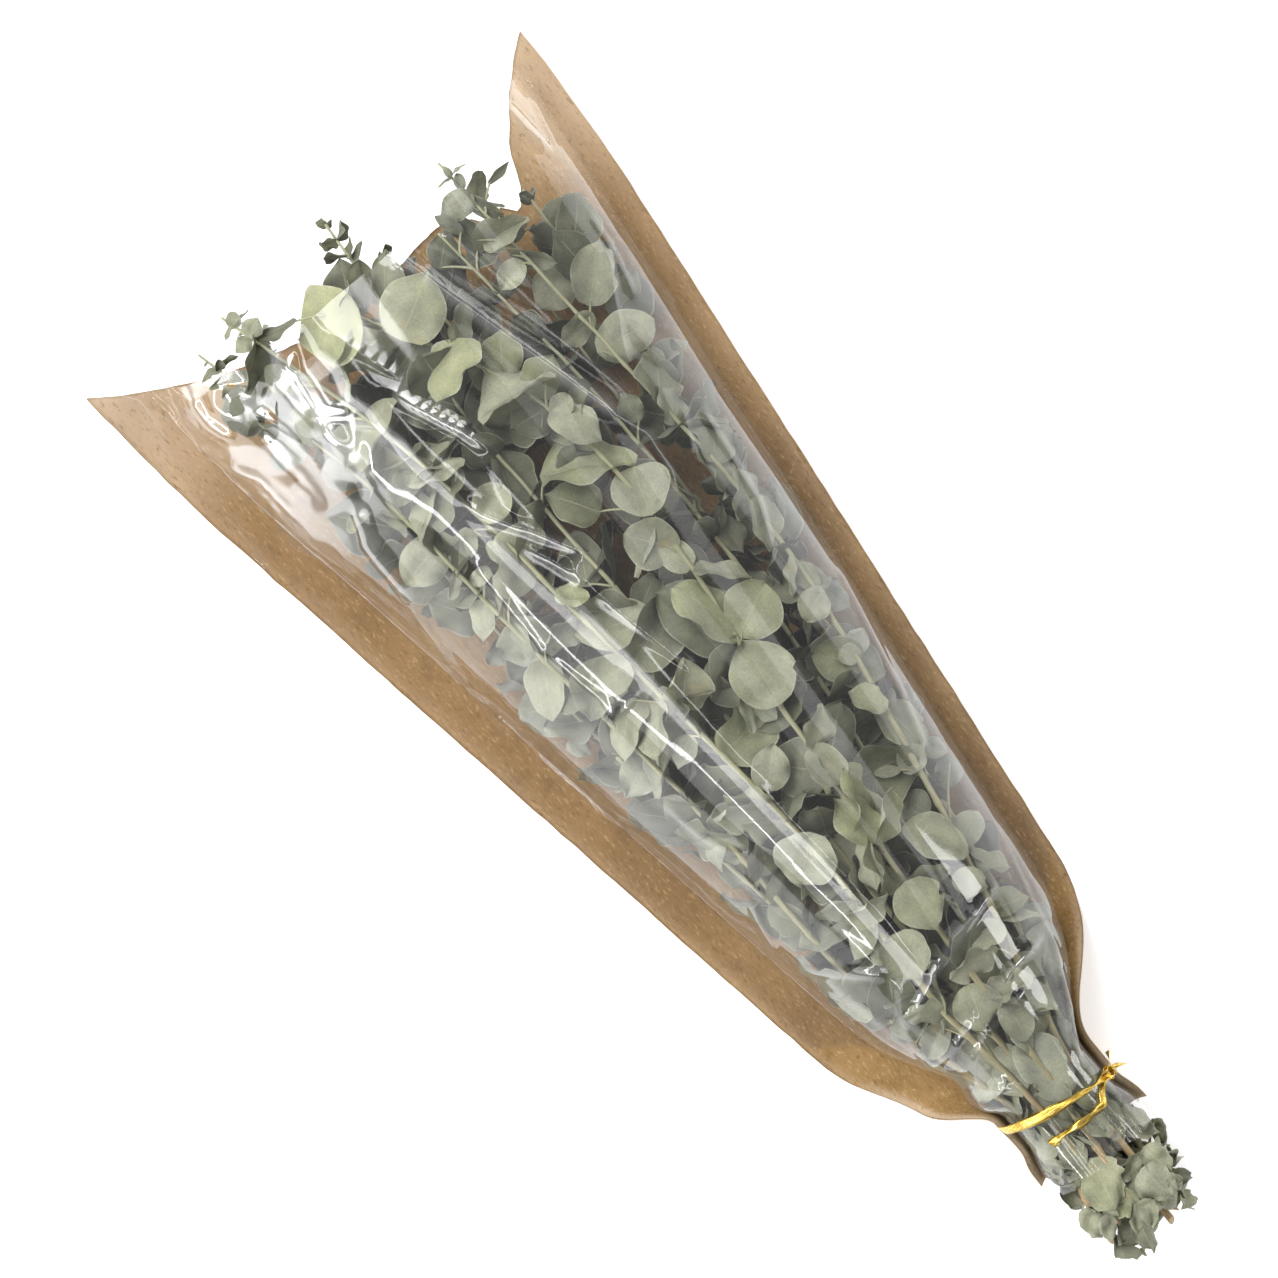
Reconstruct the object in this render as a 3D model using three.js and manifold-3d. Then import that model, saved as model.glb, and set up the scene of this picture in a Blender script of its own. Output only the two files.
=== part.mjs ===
// A bunch of dried eucalyptus lying on its back in a florist's sleeve.
//
// Eleven leafy stems stand side by side in a sleeve with a kraft paper back and a clear film front.
// The sleeve is gathered round the stems by a gold ribbon, with the cut ends standing out behind it.
// Everything is in millimetres. While it is built, x runs from the ribbon (0) to the sleeve's open
// mouth, y runs across the sleeve and z is up from the surface that the paper lies on. The last
// lines move the origin to the centre of the footprint.

import * as THREE from "three";
import { mergeVertices } from "three/addons/utils/BufferGeometryUtils.js";
import Module from "manifold-3d";

const wasm = await Module();
wasm.setup();

// ---------------------------------------------------------------- driving dimensions

const SEED = 20;

// The paper back, as flat half-widths from its middle line. It lies flat beyond the shoulder and
// curls up into a trough round the stems at the neck.
const MOUTH_CORNER_X = 580; // where the corners of the mouth reach
const MOUTH_DIP = 51; // how far the middle of the mouth is cut back from its corners
const MOUTH_BOW = 6; // how much narrower the mouth is than straight edges would make it
const MOUTH_BOW_LENGTH = 100;
const PAPER_TAIL_X = -24; // the paper's end behind the ribbon
const PAPER_THICKNESS = 0.8;
const SHOULDER_X = 88;
const SHOULDER_HALF_WIDTH = 79;
const EDGE_SPREAD = 0.14; // half-width gained for each millimetre towards the mouth
const NECK_WRAP = 46; // half-width of paper that is wrapped round the neck
const NECK_RADIUS = 29;
const NECK_LIFT = 1.7; // room under the paper for the ribbon
const NECK_END = 14; // where the paper's sides start to uncurl
const LEFT_GATHER = 42; // where its left side (+y) lies flat
const RIGHT_GATHER = 72;
const TAIL_FLARE = 0.2; // how far the paper's end behind the ribbon opens, where 1 is flat

// The film front: a crown over the stems, and beyond the shoulder a sealed margin on each side.
const FILM_THICKNESS = 0.6;
const FILM_GAP = 0.35; // between the film and the paper
const CURLED_EXTRA_GAP = 1.9; // more of it where the film stands inside the curled paper
const FILM_TAIL_X = -33;
const FILM_EDGE_INSET = 1.5;
const NECK_MARGIN = 1;
const LEFT_MARGIN = 24;
const RIGHT_MARGIN = 14;
const LEFT_SLOPE = 1.5; // 1 is upright at the fold, as an ellipse is, and 2 leans in as a parabola does
const LEANS_FROM = 50; // the left side is upright here and leans in from there
const LEANS_TO = 180;
const CROWN = [
  // [x, height of the film above the table]
  [-60, 53],
  [0, 55.6],
  [50, 67],
  [105, 78],
  [170, 86],
  [260, 91],
  [360, 92],
  [450, 88],
  [580, 76],
];

// The stems. Each path is a list of [x, y, z] from the cut end to the growing tip. Stems with a low
// layer number lie nearest the film and take their leaves first. Over its last stretch, tip long, a
// stem's leaves crowd and shrink to the growing point.
const BUTT_RADIUS = 2.4;
const TIP_RADIUS = 0.9;
const STEM_TAPER = 1.3; // 1 tapers evenly, and more keeps the cut end's thickness for longer
const STEM_REACH = 4; // a stem's direction is read this far to both sides
const STEM_SPANS = 14;
const STEMS = [
  {
    layer: 0,
    tip: 22,
    path: [
      [-70, 6, 39], [0, -2, 46], [90, -8, 60], [250, -22, 68], [345, -34, 69], [435, -27, 66],
      [536, 22, 60],
    ],
  },
  {
    layer: 0,
    tip: 60,
    path: [
      [-62, 16, 36], [0, 9, 43], [80, 15, 57], [180, 12, 66], [330, 24, 69], [450, 36, 66],
      [560, 63, 58],
    ],
  },
  {
    layer: 0,
    tip: 70,
    path: [
      [-74, -8, 36], [0, -13, 41], [90, -34, 50], [190, -56, 52], [300, -74, 48], [430, -71, 52],
      [550, -66, 50],
    ],
  },
  {
    layer: 0,
    tip: 60,
    path: [
      [-68, 25, 28], [0, 18, 31], [95, 38, 37], [225, 42, 49], [345, 53, 54], [455, 62, 50],
      [556, 84, 40],
    ],
  },
  {
    layer: 1,
    tip: 55,
    path: [
      [-60, 5, 31], [0, 4, 34], [130, 3, 45], [300, 2, 50], [440, 4, 50], [566, -5, 54],
    ],
  },
  {
    layer: 1,
    tip: 30,
    path: [
      [-79, -4, 27], [0, -5, 30], [120, -24, 40], [250, -46, 42], [400, -52, 42], [524, -44, 46],
    ],
  },
  {
    layer: 1,
    tip: 40,
    path: [
      [-64, -16, 26], [0, -19, 27], [100, -44, 31], [250, -64, 31], [400, -84, 30], [515, -90, 34],
    ],
  },
  {
    layer: 1,
    tip: 40,
    path: [
      [-72, 17, 19], [0, 16, 20], [120, 38, 26], [250, 54, 28], [390, 62, 27], [512, 64, 28],
    ],
  },
  {
    layer: 2,
    tip: 30,
    path: [
      [-66, 8, 14], [0, 7, 14], [150, 22, 19], [300, 28, 22], [510, 38, 25],
    ],
  },
  {
    layer: 2,
    tip: 40,
    path: [
      [-76, -6, 14], [0, -6, 15], [150, -10, 21], [300, -14, 25], [430, -20, 28], [536, -18, 34],
    ],
  },
  {
    layer: 2,
    tip: 30,
    path: [
      [-70, -16, 16], [0, -15, 18], [150, -38, 18], [300, -52, 17], [500, -66, 18],
    ],
  },
];

// Leaves stand in opposite pairs, each pair a quarter turn on from the last.
const LEAF_SPACING = [27, 30, 35]; // by the stem's layer
const TIP_SPACING = 10;
const BUTT_CROWDING = 0.6; // leaves stand this much closer at the cut ends
const SPACING_RANGE = [0.85, 1.2]; // how far any one spacing may be off, as a factor
const FIRST_LEAVES = [6, 16]; // the first pair stands within this range of the cut end
const PAIR_SWING = 0.2; // how far a pair may be off its quarter turn, in radians
const SMALLEST_LEAF = 6;
const LEAF_LENGTH = [
  // [share of the stem from its cut end, blade length]
  [0, 28],
  [0.15, 33],
  [0.35, 37],
  [0.7, 39],
  [0.92, 38],
  [1, 32],
];
const LEAST_PRESSED = [0.62, 0.4, 0.3]; // how flat leaves are pressed at least, by the stem's layer
const MOST_PRESSED = 0.95;
const PRESSED_IN_NECK = 0.3;
const NECK_MIDDLE = 5;
const NECK_REACH = [12, 55]; // from here to there off its middle, the neck's hold on leaves fades
const BUTT_REACH = [-45, -20]; // from here to there, leaves stop spreading as the cut ends' leaves do
const LEAF_SHAPE = {
  length: [0.84, 1.16], // as a factor
  lastTryLength: 0.62,
  aspect: [0.8, 1.06],
  aspectInNeck: 0.75, // as a factor
  bend: [-0.35, 0.95], // how far the blade turns down from root to tip, in radians
  cup: [0.12, 1.25], // how far each half turns up or down from midrib to edge, in radians
  wave: [0.2, 0.75],
};
// Angles in radians between a leaf and its stem, and how far a leaf may be off them.
const OPEN_LEAN = [1.15, 0.8]; // at the first try and at the last
const OPEN_LEAN_SWING = 0.4;
const NECK_LEAN = 0.35;
const NECK_LEAN_SWING = 0.2;
const BUTT_LEAN = 1.2;
const BUTT_LEAN_SWING = 0.5;
const TURN_SWING = 0.15; // how far a leaf may be turned round its stem
const MORE_TURN_SWING = 1.4; // how much more by the last try
const ROLL_SWING = 0.25; // how far a leaf may be rolled on its own length
const MORE_ROLL_SWING = 0.3;
const LESS_PRESSED = 0.6; // share of the least pressing that is given up by the last try
const WIDEST_NEAR_ROOT = 0.85; // 1 puts a blade's widest place at its middle, and less nearer its root
const ROUNDNESS = 0.62; // 0.5 is an ellipse, and more is slimmer towards both ends
const THICKENING = 0.016; // blade thickness for each millimetre of its length, over the thinnest
const RIPPLE_DEPTH = 0.13; // of the wavy edge, as a share of the half-width
const RIPPLE_TURN = 7; // radians of the wave along the edge
const RIPPLE_OFFSET = 2; // by which one edge's wave is ahead of the other's
const BLADE_THICKNESS = 1.2; // in the middle of the largest blades
const THINNEST_BLADE = 0.7;
const PLAIN_BELOW = 20; // blades shorter than this have fewer facets
const BLADE_CLEARANCE = 0.6; // room kept to every blade and stem near by
const ROOT_CLEARANCE = 0.2; // the same, to its own stem and the blade across from it
const SLEEVE_CLEARANCE = 0.9;
const ROOT_DEPTH = 0.3; // how far out a blade's root starts, as a share of the stem's radius
const WAIST_HALF_WIDTH = 0.7;
const SHORTEST_EDGE = 0.02; // a blade that would meet its stem in a finer splinter stands otherwise
const TRIES = 100; // poses tried for a leaf before it counts as fallen off

// The ribbon: one tight turn round the neck, a knot at its right, a long end laid back over the neck
// and a short end that stands off.
const RIBBON_WIDTH = 4.6;
const RIBBON_THICKNESS = 0.8;
const RIBBON_X = 4.5;
const RIBBON_TILT = 0.19; // x gained for each millimetre across
const RIBBON_HALF_WIDTH = 31.2;
const RIBBON_BOTTOM = 0.3;
const RIBBON_TOP = 58.8;
const KNOT = [0, -28, 43];
const KNOT_RADIUS = 3.6;
const LONG_END_X = [0, -5, -8.5, -9.5, -9.5, -9, -8, -6];
const LONG_END_TURN = [-1.15, 1.15]; // from the knot to its tip, as angles from the top of the neck
const LONG_END_ROUND = { halfWidth: 29.6, halfHeight: 28, middle: 30 };
const SHORT_END = [[0, -28, 43], [3, -33, 40], [6, -36.5, 34]];

const LEAF_COLOUR = "#9aa68d";
const PAPER_COLOUR = "#b9854f";
const FILM_COLOUR = "#eef1f2";
const GOLD_COLOUR = "#d9a521";

// ---------------------------------------------------------------- helpers

const clamp = THREE.MathUtils.clamp;
const lerp = THREE.MathUtils.lerp;
const smooth = THREE.MathUtils.smoothstep; // (value, from, to)

// A repeatable number from 0 to 1 for a list of whole-number keys.
function draw(...keys) {
  let h = SEED;
  for (const key of keys) {
    h = Math.imul(h ^ (key + 0x3c6ef372), 0x85ebca6b);
    h ^= h >>> 13;
    h = Math.imul(h, 0xc2b2ae35);
    h ^= h >>> 16;
  }
  return (h >>> 0) / 4294967296;
}

// The smooth curve through rows of [x, value, ...], read at x in the given column.
function through(rows, x, column = 1) {
  const last = rows.length - 1;
  let i = 0;
  while (i < last - 1 && x > rows[i + 1][0]) i += 1;
  const slope = (k) => {
    const a = rows[Math.max(k - 1, 0)];
    const b = rows[Math.min(k + 1, last)];
    return (b[column] - a[column]) / (b[0] - a[0]);
  };
  const [p, q] = [rows[i], rows[i + 1]];
  const width = q[0] - p[0];
  const t = clamp((x - p[0]) / width, 0, 1);
  const t2 = t * t;
  const t3 = t2 * t;
  return (
    (2 * t3 - 3 * t2 + 1) * p[column] +
    (t3 - 2 * t2 + t) * width * slope(i) +
    (3 * t2 - 2 * t3) * q[column] +
    (t3 - t2) * width * slope(i + 1)
  );
}

// A three.js geometry from points and triangles.
function geometryOf(points, triangles) {
  const geometry = new THREE.BufferGeometry();
  const places = new Float32Array(points.flatMap((p) => [p.x, p.y, p.z]));
  geometry.setAttribute("position", new THREE.BufferAttribute(places, 3));
  geometry.setIndex(triangles.flat());
  return geometry;
}

// A closed geometry as a solid that can be joined and cut.
function solidOf(geometry) {
  const bare = geometry.clone();
  bare.deleteAttribute("normal");
  bare.deleteAttribute("uv");
  const merged = mergeVertices(bare, 1e-4);
  return new wasm.Manifold(
    new wasm.Mesh({
      numProp: 3,
      vertProperties: new Float32Array(merged.attributes.position.array),
      triVerts: new Uint32Array(merged.index.array),
    }),
  );
}

// A solid back as a three.js geometry.
function geometryFrom(solid) {
  const mesh = solid.getMesh();
  const geometry = new THREE.BufferGeometry();
  geometry.setAttribute("position", new THREE.BufferAttribute(new Float32Array(mesh.vertProperties), 3));
  geometry.setIndex(new THREE.BufferAttribute(new Uint32Array(mesh.triVerts), 1));
  return geometry;
}

// Solids joined into one.
function joined(solids) {
  return solids.reduce((all, next) => all.add(next));
}

// A closed tube of rings, each a list of points running the same way round, with its ends capped.
function ringTube(rings) {
  const sides = rings[0].length;
  const points = rings.flat();
  const triangles = [];
  for (let r = 0; r < rings.length - 1; r += 1) {
    for (let i = 0; i < sides; i += 1) {
      const a = r * sides + i;
      const b = r * sides + ((i + 1) % sides);
      triangles.push([a, b, a + sides], [b, b + sides, a + sides]);
    }
  }
  const end = (rings.length - 1) * sides;
  for (let i = 1; i < sides - 1; i += 1) {
    triangles.push([0, i + 1, i], [end, end + i, end + i + 1]);
  }
  return geometryOf(points, triangles);
}

// ---------------------------------------------------------------- the sleeve's surfaces

// 1 where the paper is wrapped round the neck, 0 where it lies flat. side is +1 on the left (+y).
function curl(x, side) {
  const opening = smooth(x, NECK_END, side > 0 ? LEFT_GATHER : RIGHT_GATHER);
  return 1 - Math.max(opening, TAIL_FLARE * smooth(-x, 4, -PAPER_TAIL_X));
}

// Flat half-width of the paper.
function paperHalfWidth(x) {
  const flat = SHOULDER_HALF_WIDTH + EDGE_SPREAD * (x - SHOULDER_X);
  const bow = MOUTH_BOW * clamp((x - MOUTH_CORNER_X) / MOUTH_BOW_LENGTH + 1, 0, 1) ** 2;
  return lerp(NECK_WRAP, flat - bow, smooth(x, 0, SHOULDER_X));
}

// The paper's underside at x, at the distance u from its middle line measured along the sheet.
function paperPoint(x, u) {
  const side = u < 0 ? -1 : 1;
  const bend = Math.max(curl(x, side), 1e-6) / NECK_RADIUS;
  const lift = NECK_LIFT * curl(x, -1);
  return new THREE.Vector3(x, Math.sin(u * bend) / bend, lift + (1 - Math.cos(u * bend)) / bend);
}

// How far the mouth reaches at the share t (-1 to 1) across the sleeve.
function mouthX(t) {
  return MOUTH_CORNER_X - MOUTH_DIP * (1 - t * t);
}

// The distance along the paper at which the film leaves it, on one side.
function foldAt(x, side) {
  const margin = lerp(side > 0 ? LEFT_MARGIN : RIGHT_MARGIN, NECK_MARGIN, curl(x, side));
  return paperHalfWidth(x) - margin;
}

// The foot of the film's crown on one side: how far out it is, and how high. Round the neck the film
// stands inside the paper.
function filmFoot(x, side) {
  const u = side * foldAt(x, side);
  const reach = 0.01;
  const across = paperPoint(x, u + reach).sub(paperPoint(x, u - reach)).normalize();
  const off = PAPER_THICKNESS + FILM_GAP + CURLED_EXTRA_GAP * smooth(curl(x, side), 0, 0.1);
  const foot = paperPoint(x, u).add(new THREE.Vector3(0, -across.z, across.y).multiplyScalar(off));
  return { reach: Math.abs(foot.y), height: foot.z };
}

function crownSlope(x, side) {
  return side > 0 ? lerp(1, LEFT_SLOPE, smooth(x, LEANS_FROM, LEANS_TO)) : 1;
}

// Height of the film's underside over the table, or null outside the crowned front.
function filmHeight(x, y) {
  const side = y < 0 ? -1 : 1;
  const { reach, height } = filmFoot(x, side);
  const share = Math.abs(y) / reach;
  if (share >= 1) return null;
  return height + (through(CROWN, x) - height) * (1 - share * share) ** (crownSlope(x, side) / 2);
}

// Height of the paper's upper face, or null outside the trough.
function paperHeight(x, y) {
  const side = y < 0 ? -1 : 1;
  const bend = curl(x, side) / NECK_RADIUS;
  if (Math.abs(y) * bend >= 0.999) return null;
  const rise = bend < 1e-6 ? 0 : (1 - Math.sqrt(1 - (y * bend) ** 2)) / bend;
  return NECK_LIFT * curl(x, -1) + rise + PAPER_THICKNESS;
}

// The underside of the film's crown at x, at the share v (-1 to 1) across it.
function crownPoint(x, v) {
  const side = v < 0 ? -1 : 1;
  const { reach, height } = filmFoot(x, side);
  const angle = (v * Math.PI) / 2;
  const z = height + (through(CROWN, x) - height) * Math.max(Math.cos(angle), 0) ** crownSlope(x, side);
  return new THREE.Vector3(x, reach * Math.sin(angle), z);
}

// The underside of the film's sealed margin on one side, at the share t from the fold to its edge.
function marginPoint(x, side, t) {
  const fold = foldAt(x, side) - 0.5 * FILM_THICKNESS;
  const point = paperPoint(x, side * lerp(fold, paperHalfWidth(x) - FILM_EDGE_INSET, t));
  point.z += PAPER_THICKNESS + FILM_GAP;
  return point;
}

// A closed sheet: its lower face is point(s, t) over a grid, and its upper face lies thickness above.
function sheetSolid(point, stations, across, thickness) {
  const lower = stations.map((s) => across.map((t) => point(s, t)));
  const at = (grid, i, j) => grid[clamp(i, 0, stations.length - 1)][clamp(j, 0, across.length - 1)];
  const upper = lower.map((row, i) =>
    row.map((p, j) => {
      const along = at(lower, i + 1, j).clone().sub(at(lower, i - 1, j));
      const side = at(lower, i, j + 1).clone().sub(at(lower, i, j - 1));
      return p.clone().addScaledVector(along.cross(side).normalize(), thickness);
    }),
  );
  const columns = across.length;
  const count = stations.length * columns;
  const points = [...lower.flat(), ...upper.flat()];
  const triangles = [];
  for (let i = 0; i < stations.length - 1; i += 1) {
    for (let j = 0; j < columns - 1; j += 1) {
      const a = i * columns + j;
      const [b, c, d] = [a + 1, a + columns, a + columns + 1];
      triangles.push([a, b, d], [a, d, c]);
      triangles.push([count + a, count + d, count + b], [count + a, count + c, count + d]);
    }
  }
  const rim = [
    ...stations.slice(0, -1).map((_, i) => i * columns),
    ...across.slice(0, -1).map((_, j) => (stations.length - 1) * columns + j),
    ...stations.slice(1).map((_, i) => (stations.length - 1 - i) * columns + columns - 1),
    ...across.slice(1).map((_, j) => columns - 1 - j),
  ];
  rim.forEach((a, k) => {
    const b = rim[(k + 1) % rim.length];
    triangles.push([a, count + b, count + a], [a, b, count + b]);
  });
  return geometryOf(points, triangles);
}

// Evenly spaced numbers, both ends included.
function steps(from, to, count) {
  return Array.from({ length: count + 1 }, (_, i) => lerp(from, to, i / count));
}

// ---------------------------------------------------------------- stems

// A point on a stem's middle line, which runs straight from each of its knots to the next.
function stemPoint(stem, x) {
  const step = (stem.end - stem.start) / STEM_SPANS;
  const span = clamp(Math.floor((x - stem.start) / step), 0, STEM_SPANS - 1);
  return stem.knots[span].clone().lerp(stem.knots[span + 1], (x - stem.start) / step - span);
}

function stemTangent(stem, x) {
  return stemPoint(stem, x + STEM_REACH).sub(stemPoint(stem, x - STEM_REACH)).normalize();
}

// A pair of directions square to the tangent: level across the bunch, and up.
function stemSides(tangent) {
  const across = new THREE.Vector3(-tangent.y, tangent.x, 0).normalize();
  return { across, up: tangent.clone().cross(across) };
}

function stemRadius(stem, x) {
  const share = clamp((x - stem.start) / (stem.end - stem.start), 0, 1);
  return lerp(BUTT_RADIUS, TIP_RADIUS, share ** STEM_TAPER);
}

// A stem as a tapering rod, square in section, whose flats face the ways its leaves point.
function stemGeometry(stem) {
  const sides = 4;
  const rings = stem.knots.map((centre) => {
    const place = clamp(centre.x, stem.start + STEM_REACH, stem.end - STEM_REACH);
    const { across, up } = stemSides(stemTangent(stem, place));
    const radius = stemRadius(stem, centre.x);
    return Array.from({ length: sides }, (_, i) => {
      const angle = stem.turn + ((i + 0.5) / sides) * 2 * Math.PI;
      return centre
        .clone()
        .addScaledVector(across, radius * Math.cos(angle))
        .addScaledVector(up, radius * Math.sin(angle));
    });
  });
  return ringTube(rings);
}

// The places along a stem where a pair of leaves stands.
function leafNodes(stem) {
  const nodes = [];
  let x = stem.start + lerp(...FIRST_LEAVES, draw(stem.index, 1));
  while (x < stem.end - 2) {
    const index = nodes.length;
    const left = stem.end - x;
    const share = (x - stem.start) / (stem.end - stem.start);
    const tip = smooth(left, 0, stem.tip);
    const size = lerp(SMALLEST_LEAF, through(LEAF_LENGTH, share), tip);
    const swing = lerp(-PAIR_SWING, PAIR_SWING, draw(stem.index, index, 4));
    const turn = stem.turn + (index % 2) * (Math.PI / 2) + swing;
    nodes.push({ index, x, turn, size });
    const crowding = lerp(BUTT_CROWDING, 1, smooth(x, FILM_TAIL_X, 0));
    const spacing = lerp(TIP_SPACING, LEAF_SPACING[stem.layer], tip);
    x += crowding * spacing * lerp(...SPACING_RANGE, draw(stem.index, index, 3));
  }
  return nodes;
}

// ---------------------------------------------------------------- leaves

// Half-width of a blade at the share l of its length, as a share of its widest half.
function bladeHalf(l) {
  return Math.sin(Math.PI * l ** WIDEST_NEAR_ROOT) ** ROUNDNESS;
}

// One way for a leaf to stand. Its own habit is to spread square to the stem, but the sleeve presses
// it flat, which lifts the edge nearer the growing tip over the stem. Later attempts are smaller and
// more turned.
function leafPose(stem, node, side, attempt) {
  const pick = (channel) => draw(stem.index, node.index, side, attempt, channel);
  const swing = (channel) => 2 * pick(channel) - 1;
  const slack = attempt / TRIES;
  const inNeck = 1 - smooth(Math.abs(node.x - NECK_MIDDLE), ...NECK_REACH);
  const atButt = 1 - smooth(node.x, ...BUTT_REACH);
  const tangent = stemTangent(stem, node.x);
  const { across, up } = stemSides(tangent);
  const turn = node.turn + side * Math.PI + swing(0) * (TURN_SWING + MORE_TURN_SWING * slack);
  const out = across.clone().multiplyScalar(Math.cos(turn)).addScaledVector(up, Math.sin(turn));
  const openLean = lerp(...OPEN_LEAN, slack) + OPEN_LEAN_SWING * swing(1);
  const neckLean = NECK_LEAN + NECK_LEAN_SWING * swing(1);
  const buttLean = BUTT_LEAN + BUTT_LEAN_SWING * swing(1);
  const lean = lerp(lerp(openLean, neckLean, inNeck), buttLean, atButt);
  const ahead = tangent.clone().multiplyScalar(Math.cos(lean)).addScaledVector(out, Math.sin(lean));
  const spread = tangent.clone().cross(out);
  if (spread.z < 0) spread.negate();
  const forward = tangent.clone().addScaledVector(ahead, -tangent.dot(ahead)).normalize();
  const flattest = lerp(MOST_PRESSED, PRESSED_IN_NECK, inNeck);
  const least = LEAST_PRESSED[stem.layer] * (1 - LESS_PRESSED * slack);
  const press = (Math.PI / 2) * Math.abs(Math.cos(turn)) * lerp(least, flattest, pick(2));
  const wide = spread.multiplyScalar(Math.cos(press)).addScaledVector(forward, Math.sin(press));
  wide.applyAxisAngle(ahead, (ROLL_SWING + MORE_ROLL_SWING * slack) * swing(10));
  const face = ahead.clone().cross(wide);
  if (face.z < 0) {
    wide.negate();
    face.negate();
  }
  return {
    base: stemPoint(stem, node.x).addScaledVector(out, ROOT_DEPTH * stemRadius(stem, node.x)),
    waist: stemRadius(stem, node.x) / node.size,
    ahead,
    face,
    wide,
    length: node.size * lerp(...LEAF_SHAPE.length, pick(3)) * lerp(1, LEAF_SHAPE.lastTryLength, slack),
    aspect: lerp(...LEAF_SHAPE.aspect, pick(4)) * lerp(1, LEAF_SHAPE.aspectInNeck, inNeck),
    bend: lerp(...LEAF_SHAPE.bend, pick(5)),
    cup: (pick(6) < 0.5 ? -1 : 1) * lerp(...LEAF_SHAPE.cup, pick(7) ** 2),
    wave: lerp(...LEAF_SHAPE.wave, pick(8)),
    phase: 6 * pick(9),
    plain: stem.layer === 2 || node.size < PLAIN_BELOW || node.x < 0,
  };
}

// The point of a blade at l (0 base to 1 tip) and w (-1 to 1 across its full width), lifted off its
// middle surface by rise.
function bladePoint(pose, l, w, rise = 0, grow = 0) {
  const { ahead, face, wide, bend } = pose;
  const half = (pose.length * pose.aspect) / 2;
  const length = pose.length + grow;
  const turn = bend * l;
  const run = Math.abs(bend) < 1e-3 ? l : Math.sin(turn) / bend;
  const drop = Math.abs(bend) < 1e-3 ? 0 : (1 - Math.cos(turn)) / bend;
  const facing = face.clone().multiplyScalar(Math.cos(turn)).addScaledVector(ahead, Math.sin(turn));
  const angle = pose.cup * w;
  const swell = Math.sin(RIPPLE_TURN * l + pose.phase + (w > 0 ? 0 : RIPPLE_OFFSET));
  const ripple = pose.wave * half * RIPPLE_DEPTH * swell * w * w;
  return pose.base
    .clone()
    .addScaledVector(ahead, length * run)
    .addScaledVector(face, -length * drop)
    .addScaledVector(wide, (Math.sin(angle) / pose.cup) * (half + grow))
    .addScaledVector(facing, ((1 - Math.cos(angle)) / pose.cup) * half + ripple + rise);
}

// Half of a blade's thickness at its midrib.
function halfThickness(pose) {
  const thickness = THINNEST_BLADE + pose.length * THICKENING;
  return clamp(thickness, THINNEST_BLADE, BLADE_THICKNESS) / 2;
}

// A blade as a closed, sharp-edged lens. It has two points at its root, two on each side of its
// midrib, a narrow waist where it leaves the stem, and an outline of seven points beyond that. from
// is where it starts, as a share of its length.
const OUTLINE = [0.15, 0.45, 0.8];
const MIDRIB = [0.3, 0.68];
function bladeGeometry(pose, grow = 0, from = 0) {
  if (pose.plain) return plainBladeGeometry(pose, grow, from);
  const thick = halfThickness(pose) + grow;
  const half = (pose.length * pose.aspect) / 2;
  const waist = (s) => bladePoint(pose, from + pose.waist, (s * WAIST_HALF_WIDTH) / half, 0, grow);
  const side = (s) => [waist(s), ...OUTLINE.map((l) => bladePoint(pose, l, s * bladeHalf(l), 0, grow))];
  const mid = (rise) => [from, ...MIDRIB].map((l) => bladePoint(pose, l, 0, rise, grow));
  const points = [...mid(thick), ...mid(-thick), ...side(1), ...side(-1), bladePoint(pose, 1, 0, 0, grow)];
  const [left, right, tip] = [6, 10, 14];
  const faceOf = (root, near, far, edge) => [
    [root, near, edge],
    [near, edge + 1, edge],
    [near, edge + 2, edge + 1],
    [near, far, edge + 2],
    [far, edge + 3, edge + 2],
    [far, tip, edge + 3],
  ];
  const flip = (list) => list.map(([a, b, c]) => [a, c, b]);
  const triangles = [
    ...faceOf(0, 1, 2, left),
    ...flip(faceOf(0, 1, 2, right)),
    ...flip(faceOf(3, 4, 5, left)),
    ...faceOf(3, 4, 5, right),
    [0, left, 3],
    [0, 3, right],
  ];
  return geometryOf(points, triangles);
}

// The same for a small or hidden blade, with five outline points past its waist.
const PLAIN_OUTLINE = [0.24, 0.7];
const PLAIN_MIDRIB = 0.45;
function plainBladeGeometry(pose, grow, from) {
  const thick = halfThickness(pose) + grow;
  const half = (pose.length * pose.aspect) / 2;
  const waist = (s) => bladePoint(pose, from + pose.waist, (s * WAIST_HALF_WIDTH) / half, 0, grow);
  const edge = (s) => PLAIN_OUTLINE.map((l) => bladePoint(pose, l, s * bladeHalf(l), 0, grow));
  const side = (s) => [waist(s), ...edge(s)];
  const mid = (rise) => [from, PLAIN_MIDRIB].map((l) => bladePoint(pose, l, 0, rise, grow));
  const points = [...mid(thick), ...mid(-thick), ...side(1), ...side(-1), bladePoint(pose, 1, 0, 0, grow)];
  const [left, right, tip] = [4, 7, 10];
  const faceOf = (root, near, edge) => [
    [root, near, edge],
    [near, edge + 1, edge],
    [near, edge + 2, edge + 1],
    [near, tip, edge + 2],
  ];
  const flip = (list) => list.map(([a, b, c]) => [a, c, b]);
  const triangles = [
    ...faceOf(0, 1, left),
    ...flip(faceOf(0, 1, right)),
    ...flip(faceOf(2, 3, left)),
    ...faceOf(2, 3, right),
    [0, left, 2],
    [0, 2, right],
  ];
  return geometryOf(points, triangles);
}

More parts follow.
